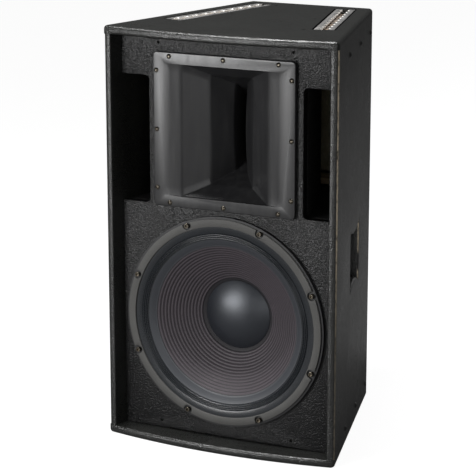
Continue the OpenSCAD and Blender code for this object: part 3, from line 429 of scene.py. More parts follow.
def plywood(name):
    """Birch plywood, sprayed black by the port mouths and bare further back."""
    m = Nodes(name, 0.6, (0.62, 0.48, 0.31))
    grain = m.noise(1.0, 5, 0.6, m.stretched((40, 8, 260)))
    plies = m.bands(110, "Z", 1.2)
    color = m.blend(m.ranged(grain), (0.50, 0.36, 0.21), (0.68, 0.54, 0.36))
    color = m.patch(plies, 0.4, 0.6, 0.25, color, (0.40, 0.28, 0.16))
    spray = m.math("ADD", m.part(1), m.ranged(m.noise(25, 4), 0.2, 0.8, -0.02, 0.02))
    cover = m.ranged(spray, baffle_back + 0.24, baffle_back + 0.30, 1.0, 0.0)
    color = m.blend(cover, color, (0.006, 0.006, 0.0063))
    return m.finish(color=color, rough=m.cloudy(grain, 0.5, 0.68),
                    normal=m.bump(grain, 0.00015, 0.6))


def wool(name):
    m = Nodes(name, 0.95, (0.45, 0.41, 0.29))
    strands = m.noise(1.0, 6, 0.75, m.stretched((300, 120, 90), (0.3, 0.5, 0.2)))
    lumps = m.noise(60, 5, 0.6)
    color = m.blend(m.ranged(strands), (0.26, 0.235, 0.155), (0.45, 0.41, 0.29))
    return m.finish(color=color, normal=m.bump(m.math("ADD", strands, lumps), 0.003, 0.9))


def copper(name):
    m = Nodes(name, 0.35, (0.65, 0.33, 0.16), metal=0.9)
    turns = m.bands(900, "Y", 0.0)
    color = m.blend(turns, (0.40, 0.18, 0.08), (0.75, 0.42, 0.22))
    return m.finish(color=color, normal=m.bump(turns, 0.0002, 0.9))


def board(name):
    m = Nodes(name, 0.4, (0.05, 0.20, 0.09))
    tracks = m.bands(60, "X", 3.0)
    color = m.blend(m.ranged(tracks, 0.6, 0.7), (0.03, 0.15, 0.06), (0.07, 0.26, 0.11))
    return m.finish(color=color, rough=m.cloudy(m.noise(300, 3), 0.3, 0.45),
                    normal=m.bump(tracks, 0.0001, 0.5))


TRACK_TONE = (0.90, 0.89, 0.87)
TRACK_GRAIN = (700, 60, 700)
FLOOR_TINT_Z = (8.5 * MM, 4.5 * MM)   # depths in a track between which the brown tint of the channel floor fades out

# slot: kind of material, then what it takes after the name
SLOTS = {
    "cabinet_paint": (textured_paint, (0.0066, 0.0070, 0.0062), 0.6, 0.65),
    "baffle_paint": (textured_paint, (0.0035, 0.0035, 0.0037), 0.85, 0.32, False),
    "plywood": (plywood,),
    "damping_wool": (wool,),
    "zinc_plate": (metal, (0.62, 0.61, 0.57), 0.38, (200, 200, 200)),
    "track_aluminium": (metal, TRACK_TONE, 0.32, TRACK_GRAIN, [cad_hi.z - depth for depth in FLOOR_TINT_Z]),
    "track_aluminium_low": (metal, TRACK_TONE, 0.32, TRACK_GRAIN, [cad_lo.z + depth for depth in FLOOR_TINT_Z]),
    "black_bolts": (moulded, (0.010, 0.010, 0.010), 0.34, 500, 0.0001, 0.6),
    "handle_cup": (moulded, (0.004, 0.004, 0.0043), 0.5, 1200, 0.00006, 0.15),
    "cast_frame": (moulded, (0.010, 0.010, 0.011), 0.42, 700, 0.00015),
    "gasket_grey": (rubbery, (0.062, 0.061, 0.058), 700, 0.00022, 0.66),
    "bright_screws": (metal, (0.17, 0.15, 0.12), 0.2, (250, 250, 250)),
    "phenolic": (moulded, (0.30, 0.15, 0.06), 0.4),
    "machined_steel": (metal, (0.55, 0.55, 0.56), 0.3, (30, 900, 30)),
    "ferrite": (moulded, (0.05, 0.05, 0.055), 0.6, 400, 0.0002),
    "spider_cloth": (woven, (0.55, 0.40, 0.20), 0.9, 0.0002, 0.75),
    "surround_cloth": (woven, (0.012, 0.0145, 0.018), 0.8, 0.00002, 0.22),
    "cone_paper": (cone_paper,),
    "dust_cap_paper": (woven, (0.0075, 0.0090, 0.0130), 0.7, 0.00003, 0.375, 0.85, (0.90, 0.94, 1.0, 1.0)),
    "copper_coil": (copper,),
    "horn_plastic": (horn_plastic,),
    "foam_black": (rubbery, (0.01, 0.01, 0.01), 1200, 0.0003, 0.9),
    "driver_black": (moulded, (0.03, 0.03, 0.031), 0.4),
    "titanium": (metal, (0.55, 0.56, 0.58), 0.25, (200, 200, 200)),
    "dish_plastic": (moulded, (0.012, 0.012, 0.013), 0.4),
    "socket_plastic": (moulded, (0.018, 0.018, 0.028), 0.35),
    "circuit_board": (board,),
    "crossover_components": (moulded, (0.60, 0.38, 0.15), 0.35),
    "lead_insulation": (rubbery, (0.38, 0.03, 0.03), 600, 0.00005, 0.45),
}


# ---------------------------------------------------------------- mesh helpers

def linked(name, data):
    """A new object in the scene that shows the data."""
    obj = bpy.data.objects.new(name, data)
    bpy.context.scene.collection.objects.link(obj)
    return obj


def discard(obj):
    data = obj.data
    bpy.data.objects.remove(obj)
    bpy.data.meshes.remove(data)


def from_bmesh(name, bm):
    """A new object from a finished bmesh, with its faces turned outwards."""
    bmesh.ops.recalc_face_normals(bm, faces=bm.faces)
    mesh = bpy.data.meshes.new(name)
    bm.to_mesh(mesh)
    bm.free()
    return linked(name, mesh)


def mesh_object(name, verts, faces):
    """An object from points and faces, with doubled points merged and faces turned outwards."""
    mesh = bpy.data.meshes.new(name)
    mesh.from_pydata([tuple(v) for v in verts], [], faces)
    mesh.update()
    obj = linked(name, mesh)
    tidy_mesh(obj)
    return obj


def tidy_mesh(obj, merge=1e-6):
    bm = bmesh.new()
    bm.from_mesh(obj.data)
    bmesh.ops.remove_doubles(bm, verts=bm.verts, dist=merge)
    bmesh.ops.recalc_face_normals(bm, faces=bm.faces)
    bm.to_mesh(obj.data)
    bm.free()


def shaded(obj, angle):
    """Smooth shading that keeps edges sharper than the angle, in degrees."""
    for face in obj.data.polygons:
        face.use_smooth = True
    obj.data.set_sharp_from_angle(angle=radians(angle))
    return obj


def bake_modifiers(obj):
    """Replaces the mesh with the result of the object's modifiers."""
    graph = bpy.context.evaluated_depsgraph_get()
    made = bpy.data.meshes.new_from_object(obj.evaluated_get(graph))
    obj.modifiers.clear()
    old = obj.data
    obj.data = made
    made.name = obj.name
    bpy.data.meshes.remove(old)


def combine(obj, other, operation):
    """Adds the other solid to obj or cuts it away, and removes the other."""
    mod = obj.modifiers.new("boolean", "BOOLEAN")
    mod.operation = operation
    mod.solver = "EXACT"
    mod.object = other
    bake_modifiers(obj)
    discard(other)


def cut(obj, cutter):
    combine(obj, cutter, "DIFFERENCE")


def bevel(obj, width, segments, angle):
    """Adds a bevel to every edge sharper than the angle, in degrees."""
    mod = obj.modifiers.new("bevel", "BEVEL")
    mod.width = width
    mod.segments = segments
    mod.limit_method = "ANGLE"
    mod.angle_limit = radians(angle)
    return mod


def soften(obj, width, segments, angle):
    bevel(obj, width, segments, angle)
    bake_modifiers(obj)


def fillet(points, radii, steps=6):
    """A closed 2D outline with chosen corners rounded. A radius of 0 leaves a corner as it is."""
    out = []
    n = len(points)
    for i, (point, radius) in enumerate(zip(points, radii)):
        p = Vector(point)
        if radius <= 0:
            out.append(p)
            continue
        a = (Vector(points[i - 1]) - p).normalized()
        b = (Vector(points[(i + 1) % n]) - p).normalized()
        half = a.angle(b) / 2
        centre = p + (a + b).normalized() * (radius / sin(half))
        start = p + a * (radius / tan(half)) - centre
        end = p + b * (radius / tan(half)) - centre
        sweep = start.angle_signed(end)
        for k in range(steps + 1):
            turn = Matrix.Rotation(-sweep * k / steps, 2)
            out.append(centre + turn @ start)
    return out


def rectangle(half_w, half_h):
    return [(-half_w, -half_h), (half_w, -half_h), (half_w, half_h), (-half_w, half_h)]


def outward(points):
    """For each corner of a closed counter-clockwise outline, the move that offsets it by one unit."""
    n = len(points)
    moves = []
    for i in range(n):
        a = (points[i] - points[i - 1]).normalized()
        b = (points[(i + 1) % n] - points[i]).normalized()
        na = Vector((a.y, -a.x))
        nb = Vector((b.y, -b.x))
        moves.append((na + nb) / max(1 + na.dot(nb), 0.2))
    return moves


def banded(name, loops, bands, lids):
    """A mesh with a band of faces between each pair of loops and a lid on each loop named."""
    n = len(loops[0])
    faces = [(a * n + i, a * n + (i + 1) % n, b * n + (i + 1) % n, b * n + i)
             for a, b in bands for i in range(n)]
    faces += [tuple(range(k * n, k * n + n)) for k in lids]
    return mesh_object(name, [v for loop in loops for v in loop], faces)


def loops_solid(name, loops):
    """A closed solid from a stack of loops with the same number of points."""
    last = len(loops) - 1
    return banded(name, loops, [(k, k + 1) for k in range(last)], [0, last])


def quarter(steps, radius):
    """Inset and drop at each step of a quarter round, from its side to its flat."""
    turns = [pi / 2 * k / steps for k in range(steps + 1)]
    return [(radius * (1 - cos(turn)), radius * (1 - sin(turn))) for turn in turns]


def prism(name, plan, heights):
    """An upright solid over a closed plan, with a loop at each height."""
    return loops_solid(name, [[Vector((*p, z)) for p in plan] for z in heights])


def circle(radius, steps, start=0.0):
    turns = [start + FULL * k / steps for k in range(steps)]
    return [(radius * cos(turn), radius * sin(turn)) for turn in turns]


def lathe(name, profile, centre, steps=128):
    """Turns a closed profile of (radius, depth) about a line along Y through centre (x, z)."""
    verts = []
    rings = []
    for radius, depth in profile:
        if radius < 1e-7:
            rings.append([len(verts)])
            verts.append((centre[0], depth, centre[1]))
            continue
        ring = []
        for k in range(steps):
            angle = FULL * k / steps
            ring.append(len(verts))
            verts.append((centre[0] + radius * cos(angle), depth,
                          centre[1] + radius * sin(angle)))
        rings.append(ring)
    faces = []
    count = len(rings)
    for i in range(count):
        a, b = rings[i], rings[(i + 1) % count]
        if len(a) == 1 and len(b) == 1:
            continue
        for k in range(steps):
            j = (k + 1) % steps
            corners = [a[k % len(a)], a[j % len(a)], b[j % len(b)], b[k % len(b)]]
            faces.append(tuple(dict.fromkeys(corners)))
    return mesh_object(name, verts, faces)


def box_solid(name, lo, hi):
    lo, hi = Vector(lo), Vector(hi)
    verts = [(x, y, z) for x in (lo.x, hi.x) for y in (lo.y, hi.y) for z in (lo.z, hi.z)]
    faces = [(0, 1, 3, 2), (4, 6, 7, 5), (0, 4, 5, 1), (2, 3, 7, 6), (0, 2, 6, 4), (1, 5, 7, 3)]
    return mesh_object(name, verts, faces)


def placed(obj, matrix):
    """Moves the mesh itself, and keeps its faces outwards where the matrix mirrors it."""
    obj.data.transform(matrix)
    if matrix.determinant() < 0:
        obj.data.flip_normals()
    obj.data.update()
    return obj


def copies(name, source, matrices):
    """One object made of copies of the source mesh, and removes the source."""
    bm = bmesh.new()
    for matrix in matrices:
        before = len(bm.verts)
        bm.from_mesh(source.data)
        bm.verts.ensure_lookup_table()
        fresh = bm.verts[before:]
        bmesh.ops.transform(bm, matrix=matrix, verts=fresh)
    discard(source)
    return from_bmesh(name, bm)


def placed_copy(name, source, matrix):
    return placed(linked(name, source.data.copy()), matrix)


def add_piece(obj, slot, nodes, body="root"):
    """Gives a finished piece its material and its body, and hides the CAD nodes that it stands for."""
    obj.data.materials.clear()
    obj.data.materials.append(materials[slot])
    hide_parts(*nodes)
    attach(obj, body)
    return obj


def along_side():
    """Matrix of the right side panel's frame: x out of the panel, y back along it, z up."""
    return SHIFT((half_front, front_y, 0)) @ Matrix.Rotation(side_angle, 4, "Z")


# ---------------------------------------------------------------- cabinet shell

OVER = 5 * MM                   # how far most cutters run past the face that they open
EDGE_R = 6.5 * MM               # rounding of the outer edges; less than any corner's radius in plan
CORNER_R = 8 * MM               # rounding of the cabinet's upright corners
LIP = 5 * MM                    # rounding of the inner edges of the bowed fronts
ARC_STEPS = 40                  # steps along a bowed front
TRACK_W = 36 * MM
TRACK_L = 262 * MM
TRACK_DEPTH = 11.4 * MM         # depth of the pocket for a track
TRACK_SINK = 0.4 * MM           # how far a track's top lies below the panel's face
TRACK_IN = 48 * MM              # from the side face to a track's centre line
TRACK_BACK = 134 * MM           # from the side panel's front edge to a track's front end
POCKET_GAP = 3.4 * MM           # room between a track and the side of its pocket
CHANNEL_HALF = 10.5 * MM        # half the width of the channel inside a track
CHANNEL_TOP = 3.9 * MM          # depth of the channel's roof
CHANNEL_FLOOR = 9.2 * MM        # depth of the channel's floor
TOOTH_R = 1.2 * MM              # rounding of the teeth
STUD_HOLES = 10
STUD_PITCH = 25.4 * MM
STUD_START = 4 * MM             # from a track's end to where its stud holes begin
STUD_R = 10 * MM
STUD_SLOT = 5.5 * MM            # half the width of the slot between stud holes
TRACK_SCREWS = [STUD_START + (i + 1) * STUD_PITCH for i in range(0, STUD_HOLES, 2)]
BRACKET_T = 3                   # in millimetres, like the other sizes of bolts and nuts
STACK = panel_t / MM + BRACKET_T
BOLT_R = 3 * MM
BOLT_ROW = [(127 + 132 * i) * MM for i in range(3)]     # distances behind the front edge
PANEL_BOLT_IN = 82.5 * MM       # from the side face to the bolts beside a track
HAND_W = 104 * MM
HAND_H = 113 * MM
HAND_Z = 332 * MM               # height of the hand opening's centre
HAND_BACK = 221 * MM            # its distance behind the front edge
GRIP_BULGE = 12 * MM            # how far each grip bulges into the opening
LIP_R = 4 * MM                  # rounding of the hand opening's lips
CUP_STEPS = 5                   # steps round the floor edge of a handle cup
WOOL_CELL = 9 * MM              # size of a wadding pad's cells
CROWN_W = 16 * MM               # how far in from its edge a pad reaches its full thickness
GRILLE_R = 2.6 * MM             # radius of a grille screw hole
INSERT_R = 4 * MM               # radius of the insert behind it


def end_outline():
    """Plan of the top and bottom panels: bowed front, straight sides, back."""
    points = []
    radii = []
    for k in range(ARC_STEPS + 1):
        x = -half_front + 2 * half_front * k / ARC_STEPS
        y = front_y - bow + bow_r - sqrt(bow_r ** 2 - x ** 2)
        points.append((x, y))
        radii.append(CORNER_R if k in (0, ARC_STEPS) else 0)
    points += [(half_out(back_y), back_y), (-half_out(back_y), back_y)]
    radii += [CORNER_R, CORNER_R]
    return fillet(points, radii)


def end_panel(name, top):
    """The top panel, or its mirror image as the bottom panel, with rounded edges."""
    plan = end_outline()
    moves = outward(plan)
    inner_edge = half_in(front_y) - 3 * MM
    fade, sharp = 6 * MM, 0.02 * MM
    lips = []
    for p in plan:
        ahead = p.y < front_y + 1 * MM
        reach = max(0.0, min(1.0, (inner_edge - abs(p.x)) / fade))
        lips.append(LIP * reach + sharp if ahead else sharp)
    loops = [[Vector((*(p - m * lip * inset), lip * drop)) for p, m, lip in zip(plan, moves, lips)]
             for inset, drop in reversed(quarter(5, 1))]
    loops += [[Vector((*(p - m * inset), panel_t - drop)) for p, m in zip(plan, moves)]
              for inset, drop in quarter(5, EDGE_R)]
    z = top_lo.z if top else panel_t + cad_lo.z
    obj = placed(loops_solid(name, loops), SHIFT((0, 0, z)) @ (STAY if top else FLIP))
    cut_end_panel(obj, top)
    return shaded(obj, 30)


def mark_wear_and_highlight(obj, rule):
    """Writes, from 0 to 1, how strongly each point shows rubbed paint and painted highlight, for the paint
    to read.
    """
    layer = obj.data.attributes.new("wear_and_highlight", "FLOAT", "POINT")
    for i, v in enumerate(obj.data.vertices):
        layer.data[i].value = rule(v.co)


def cut_end_panel(obj, top):
    """Track pockets and bolt holes, taken from the same places as the frame's own."""
    lo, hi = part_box("track_top_right")
    centre = (lo + hi) / 2
    length = TRACK_L + 4 * MM
    for side in (1, -1):
        cutter = box_solid("cutter", (-TRACK_W / 2 - POCKET_GAP, -length / 2, -TRACK_DEPTH),
                           (TRACK_W / 2 + POCKET_GAP, length / 2, OVER))
        placed(cutter, SHIFT((side * centre.x, centre.y, 0)) @ end_face(top)
               @ Matrix.Rotation(side * side_angle, 4, "Z"))
        tidy_mesh(cutter)
        cut(obj, cutter)
    bore = upright_cylinder("bore", BOLT_R + 0.2 * MM, -panel_t - 1 * MM, 1 * MM)
    cut(obj, copies("bores", bore, panel_bolt_places(top)))


def end_face(top):
    """Matrix that puts what is drawn at z = 0, with up outwards, on the top or bottom face."""
    return SHIFT((0, 0, cad_hi.z)) if top else SHIFT((0, 0, cad_lo.z)) @ FLIP


def both_ends(top):
    """Matrices from the right side panel's frame, at the top or bottom face, to each side."""
    right = end_face(top) @ along_side()
    return [right, MIRROR @ right]


def panel_bolt_places(top):
    return [end @ SHIFT((-PANEL_BOLT_IN, y, 0)) for end in both_ends(top) for y in BOLT_ROW]


def upright_cylinder(name, radius, low, high, steps=32):
    """A cylinder about Z, from low to high."""
    return prism(name, circle(radius, steps), [low, high])


def bore_at(radius, x, z, y0, y1, steps=128):
    """A cylinder along Y, mostly for cutting."""
    return lathe("bore", [(0, y0), (radius, y0), (radius, y1), (0, y1)], (x, z), steps)


def turned(name, profile, steps):
    """Turns a profile of (radius, y) in millimetres about the Y axis."""
    return lathe(name, [(r * MM, y * MM) for r, y in profile], (0, 0), steps)


def side_outline():
    """Plan of the right side panel."""
    points = [(half_in(front_y), front_y), (half_out(front_y), front_y),
              (half_out(rear_lo.y), rear_lo.y), (half_in(rear_lo.y), rear_lo.y)]
    return fillet(points, [2.5 * MM, CORNER_R, 0, 0])


def hand_outline(grow):
    """The hand opening's outline, x along the panel and y up, grown outwards by grow."""
    half_w, half_h = HAND_W / 2, HAND_H / 2
    radius = (half_w ** 2 + GRIP_BULGE ** 2) / (2 * GRIP_BULGE)
    steps = 16
    straight = 12
    points = []
    for sign in (-1, 1):
        for k in range(steps + 1):
            x = -sign * (-half_w + 2 * half_w * k / steps)
            reach = sqrt(radius ** 2 - x ** 2) - (radius - GRIP_BULGE)
            points.append(Vector((x, sign * (half_h - reach))))
        for k in range(1, straight):
            points.append(Vector((-sign * half_w, sign * half_h * (1 - 2 * k / straight))))
    moves = outward(points)
    return [p + m * grow for p, m in zip(points, moves)]


def hand_cutter():
    """The hand opening as a solid that flares at the outer face, so that its lips are round."""
    rings = [(-6 * MM, LIP_R + 5 * MM), *quarter(5, LIP_R), (panel_t + OVER, 0.0)]
    return loops_solid("cutter", [
        [Vector((-depth, HAND_BACK + p.x, HAND_Z + p.y)) for p in hand_outline(grow)]
        for depth, grow in rings])


def side_panel():
    plan = side_outline()
    low = panel_t + cad_lo.z
    high = top_lo.z
    obj = prism("right_side_shell", plan, [low + (high - low) * k / 24 for k in range(25)])
    cutter = placed(hand_cutter(), along_side())
    tidy_mesh(cutter)
    cut(obj, cutter)
    inverse = along_side().inverted()

    def rule(v):
        """A pale line down the front corner, partly rubbed paint and partly painted highlight that fades
        lower down, and two stretches of the opening's rear rim painted pale as highlights.
        """
        if v.y < front_y + CORNER_R * 1.05 and v.x > half_out(front_y) - CORNER_R * 0.6:
            along = (v.y - front_y) / CORNER_R
            fade = max(0.25, min(1.0, (v.z - 0.15) / 0.3))
            return fade * max(0.0, 1 - abs(along - 0.74) / 0.25)
        place = inverse @ v
        up = (place.z - HAND_Z) / MM
        on_rear = place.y - HAND_BACK > HAND_W / 2 - 1 * MM
        marked = -8 < up < 58 or -54 < up < -42
        if on_rear and marked:
            return max(0.0, 1 - abs(-place.x - 1.5 * MM) / (1.4 * MM))
        return 0.0
    mark_wear_and_highlight(obj, rule)
    return shaded(obj, 30)


def rear_board():
    """The rear panel, with its outer corners rounded and the recess for the connector dish."""
    near, far = half_out(rear_lo.y), half_out(back_y)
    plan = fillet([(-near, rear_lo.y), (near, rear_lo.y), (far, back_y), (-far, back_y)],
                  [0, 0, CORNER_R, CORNER_R])
    obj = prism("rear_board", plan, [panel_t + cad_lo.z, top_lo.z])
    centre = (dish_lo + dish_hi) / 2
    room = 0.5 * MM
    half_w, half_h = dish_hi.x + room, (dish_hi.z - dish_lo.z) / 2 + room
    recess = rounded_plate("recess", half_w, half_h, 5 * MM, back_y - 3.5 * MM, back_y + OVER,
                           0.01 * MM, centre.z)
    cut(obj, recess)
    lip = 14 * MM
    hole = box_solid("hole", (-half_w + lip, rear_lo.y - 1 * MM, centre.z - half_h + lip),
                     (half_w - lip, back_y + 1 * MM, centre.z + half_h - lip))
    cut(obj, hole)
    soften(obj, 0.8 * MM, 2, 50)
    mark_wear_and_highlight(obj, lambda v: 0.0)
    return shaded(obj, 30)


def baffle_board():
    """The baffle: woofer and horn holes, a notch for each port, grille screw holes."""
    near, far = half_in(baffle_y), half_in(baffle_back)
    plan = [(-near, baffle_y), (near, baffle_y), (far, baffle_back), (-far, baffle_back)]
    obj = prism("front_baffle", plan, [panel_t + cad_lo.z, top_lo.z])
    wall_lo, wall_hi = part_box("right_duct_wall")
    middle = (wall_lo.z + wall_hi.z) / 2
    half_h = (wall_hi.z - wall_lo.z) / 2
    wide = half_in(baffle_y) + 20 * MM
    for side in (1, -1):
        corners = [(wall_hi.x, -half_h), (wide, -half_h), (wide, half_h), (wall_hi.x, half_h)]
        plan = fillet(corners, [8 * MM, 0, 0, 8 * MM])
        notch = loops_solid("notch", [[Vector((side * p.x, y, middle + p.y)) for p in plan]
                                      for y in (baffle_y - OVER, baffle_back + OVER)])
        cut(obj, notch)
    hole_w, hole_h = 122 * MM, 126 * MM
    cut(obj, box_solid("hole", (-hole_w, baffle_y - OVER, horn_z - hole_h),
                       (hole_w, baffle_back + OVER, horn_z + hole_h)))
    soften(obj, 1.6 * MM, 3, 50)
    cut(obj, bore_at(rim_r - 19 * MM, 0, woofer_z, baffle_y - OVER, baffle_back + OVER))
    insert_lo, insert_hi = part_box("grille_inserts")
    for x in (insert_lo.x + INSERT_R, insert_hi.x - INSERT_R):
        for z in (insert_lo.z + INSERT_R, insert_hi.z - INSERT_R):
            cut(obj, bore_at(GRILLE_R, x, z, baffle_y - OVER, baffle_back + OVER, 24))
            cut(obj, bore_at(INSERT_R, x, z, insert_lo.y, baffle_back + OVER, 24))
    return shaded(obj, 30)


def rounded_loop(half_w, half_h, corner, x):
    """A loop of the handle cup, in the side panel's frame."""
    plan = fillet(rectangle(half_w, half_h), [corner] * 4)
    return [Vector((x, HAND_BACK + p.x, HAND_Z + p.y)) for p in plan]


def handle_cup():
    """A pressed cup with a flange against the panel and a rounded floor."""
    w, h, wall, deep, r = 58 * MM, 68.5 * MM, 3 * MM, 48 * MM, 12 * MM
    flange_w, flange_h = w + 10 * MM, h + 10 * MM
    start = -panel_t
    loops = [rounded_loop(w - wall, h - wall, 6 * MM, start),
             rounded_loop(flange_w, flange_h, 6 * MM, start),
             rounded_loop(flange_w, flange_h, 6 * MM, start - wall),
             rounded_loop(w, h, 8 * MM, start - wall)]
    loops += [rounded_loop(w - inset, h - inset, 8 * MM, start - deep + drop)
              for inset, drop in quarter(CUP_STEPS, r)]
    loops += [rounded_loop(w - wall - inset, h - wall - inset, 6 * MM, start - deep + wall + drop)
              for inset, drop in reversed(quarter(CUP_STEPS, r - wall))]
    floor = 4 + CUP_STEPS
    bands = [(k, (k + 1) % len(loops)) for k in range(len(loops)) if k != floor]
    return banded("right_cup", loops, bands, [floor, floor + 1])


def screwed(name, source, places, slot, node):
    """One piece with a copy of the source fastener at each place."""
    add_piece(shaded(copies(name, source, places), 35), slot, [node])


def with_nut(fastener, stack):
    """Adds the nut behind a stack of the given thickness, in millimetres."""
    return joined(fastener, hex_nut(5.8, stack, stack + 4.5))


def build_bolts():
    """Bolts through the side panels and the end panels, and the screws that hold the tracks."""
    sides = [end @ SHIFT((0, y, z)) @ Matrix.Rotation(pi / 2, 4, "Z") @ Matrix.Rotation(0.9 * i, 4, "Y")
             for end in (along_side(), MIRROR @ along_side())
             for z in (cad_hi.z - 42 * MM, cad_lo.z + 32 * MM) for i, y in enumerate(BOLT_ROW)]
    head = domed_screw(5.5, 2.8, 3.4, 3, STACK + 6)
    screwed("side_cap_bolts", with_nut(head, STACK), sides, "black_bolts", "side_bolts")
    flat = turned("flat_bolt", [(0, 0.4), (2.7, 0.4), (3, 0.7), (3, STACK + 6), (0, STACK + 6)], 32)
    cut_socket(flat, 3, 0.4, 2.4)
    down = Matrix.Rotation(-pi / 2, 4, "X")
    places = [m @ down for top in (True, False) for m in panel_bolt_places(top)]
    screwed("panel_socket_bolts", with_nut(flat, STACK), places, "black_bolts", "panel_bolts")
    places = [end @ SHIFT((-TRACK_IN, TRACK_BACK + y, -CHANNEL_FLOOR)) @ down
              for top in (True, False) for end in both_ends(top) for y in TRACK_SCREWS]
    reach = STACK - CHANNEL_FLOOR / MM
    screw = with_nut(domed_screw(5, 2.5, 3, 3, reach + 6), reach)
    screwed("track_cap_screws", screw, places, "bright_screws", "track_screws")


def track_opening(grow):
    """Outline of the scalloped slot, x across and y along the track, grown outwards by grow."""
    over = 3 * MM
    reach = acos(STUD_SLOT / STUD_R)
    half = [Vector((STUD_SLOT, -over))]
    for i in range(STUD_HOLES):
        middle = STUD_START + (i + 0.5) * STUD_PITCH
        for k in range(13):
            angle = reach * (k / 6 - 1)
            half.append(Vector((STUD_R * cos(angle), middle + STUD_R * sin(angle))))
    half.append(Vector((STUD_SLOT, TRACK_L + over)))
    points = half + [Vector((-p.x, p.y)) for p in reversed(half)]
    return [p + m * grow for p, m in zip(points, outward(points))]


def build_tracks():
    """Four load tracks: an open channel under a scalloped slot whose teeth are rounded over."""
    body = box_solid("track", (-TRACK_W / 2, 0, -TRACK_DEPTH), (TRACK_W / 2, TRACK_L, -TRACK_SINK))
    soften(body, 0.7 * MM, 2, 50)
    cut(body, box_solid("channel", (-CHANNEL_HALF, -3 * MM, -CHANNEL_FLOOR),
                        (CHANNEL_HALF, TRACK_L + 3 * MM, -CHANNEL_TOP)))
    rings = [(-CHANNEL_FLOOR, 0.0)]
    rings += [(-TRACK_SINK - drop, inset) for inset, drop in quarter(4, TOOTH_R)]
    rings.append((3 * MM, TOOTH_R + 3.4 * MM))
    slot = loops_solid("slot", [[Vector((*p, z)) for p in track_opening(grow)] for z, grow in rings])
    cut(body, slot)
    hole = upright_cylinder("hole", 3.1 * MM, -TRACK_DEPTH - 1 * MM, -6 * MM, 24)
    cut(body, copies("holes", hole, [SHIFT((0, y, 0)) for y in TRACK_SCREWS]))
    shaded(body, 40)
    # painted shadow: the track's outer flanks take the black cup material, for the shaded gap round the
    # track
    shadow_flanks = [int(abs(face.normal.x) > 0.7 and abs(face.center.x) > TRACK_W / 2 - 1 * MM)
              for face in body.data.polygons]
    for top, slot_name in ((True, "track_aluminium"), (False, "track_aluminium_low")):
        for end, side in zip(both_ends(top), ("right", "left")):
            node = "track_%s_%s" % ("top" if top else "bottom", side)
            obj = placed_copy("load_" + node, body, end @ SHIFT((-TRACK_IN, TRACK_BACK, 0)))
            add_piece(obj, "track_aluminium", [node])
            obj.data.materials[0] = materials[slot_name]
            obj.data.materials.append(materials["handle_cup"])
            obj.data.polygons.foreach_set("material_index", shadow_flanks)
    discard(body)


def hex_nut(radius, y0, y1):
    """A nut about Y from y0 to y1, in millimetres like its corner radius."""
    nut = loops_solid("nut", [[Vector((x, y * MM, z)) for x, z in circle(radius * MM, 6)] for y in (y0, y1)])
    cut(nut, bore_at(3.05 * MM, 0, 0, (y0 - 1) * MM, (y1 + 1) * MM, 24))
    return nut


def joined(a, b):
    """Puts b's mesh into a and removes b."""
    bm = bmesh.new()
    bm.from_mesh(a.data)
    bm.from_mesh(b.data)
    bm.to_mesh(a.data)
    bm.free()
    discard(b)
    return a


def wool_pad(name, node, frame_matrix, seed):
    """A soft wadding pad in the space of its CAD solid: crowned faces, thin edges, lumpy fibre."""
    inverse = frame_matrix.inverted()
    groups = loose_boxes(frame["nodes"][node], inverse)
    bm = bmesh.new()
    for lo, hi in groups:
        size = hi - lo
        thin = min(range(3), key=lambda i: size[i])
        wide = [i for i in range(3) if i != thin]
        counts = [max(8, int(size[i] / WOOL_CELL)) for i in wide]
        half = size[thin] / 2
        grid = {}
        for face, a, b in product((-1, 1), range(counts[0] + 1), range(counts[1] + 1)):
            point = Vector((0, 0, 0))
            rims = []
            for axis, share in zip(wide, (a / counts[0], b / counts[1])):
                point[axis] = lo[axis] + size[axis] * share
                rims.append(min(share, 1 - share) * size[axis])
            crown = sqrt(max(0.0, 1 - (1 - min(1.0, min(rims) / CROWN_W)) ** 2))
            lump = noise.fractal((point + Vector((seed, seed, seed))) * 38, 0.8, 2.0, 4)
            bulk = half * (0.12 + 0.80 * crown) * (1 + 0.07 * lump)
            point[thin] = lo[thin] + half + face * bulk * (1 - 0.012 * (1 - crown))
            grid[(face, a, b)] = bm.verts.new(frame_matrix @ point)
        for face, a, b in product((-1, 1), range(counts[0]), range(counts[1])):
            bm.faces.new([grid[(face, a + i, b + j)] for i, j in ((0, 0), (1, 0), (1, 1), (0, 1))])
        edge = [(a, 0) for a in range(counts[0])]
        edge += [(counts[0], b) for b in range(counts[1])]
        edge += [(a, counts[1]) for a in range(counts[0], 0, -1)]
        edge += [(0, b) for b in range(counts[1], 0, -1)]
        for near, far in zip(edge, edge[1:] + edge[:1]):
            bm.faces.new([grid[(-1, *near)], grid[(-1, *far)], grid[(1, *far)], grid[(1, *near)]])
    obj = from_bmesh(name, bm)
    return add_piece(shaded(obj, 60), "damping_wool", [node])


def loose_boxes(obj, inverse):
    """The box of each loose part of a CAD node, in another frame."""
    bm = bmesh.new()
    bm.from_mesh(obj.data)
    bmesh.ops.remove_doubles(bm, verts=bm.verts, dist=1e-5)
    left = set(bm.verts)
    boxes = []
    while left:
        stack = [left.pop()]
        found = []
        while stack:
            vert = stack.pop()
            found.append(inverse @ vert.co)
            for edge in vert.link_edges:
                other = edge.other_vert(vert)
                if other in left:
                    left.remove(other)
                    stack.append(other)
        boxes.append((Vector([min(p[i] for p in found) for i in range(3)]),
                      Vector([max(p[i] for p in found) for i in range(3)])))
    bm.free()
    return sorted(boxes, key=lambda pair: tuple(pair[0]))


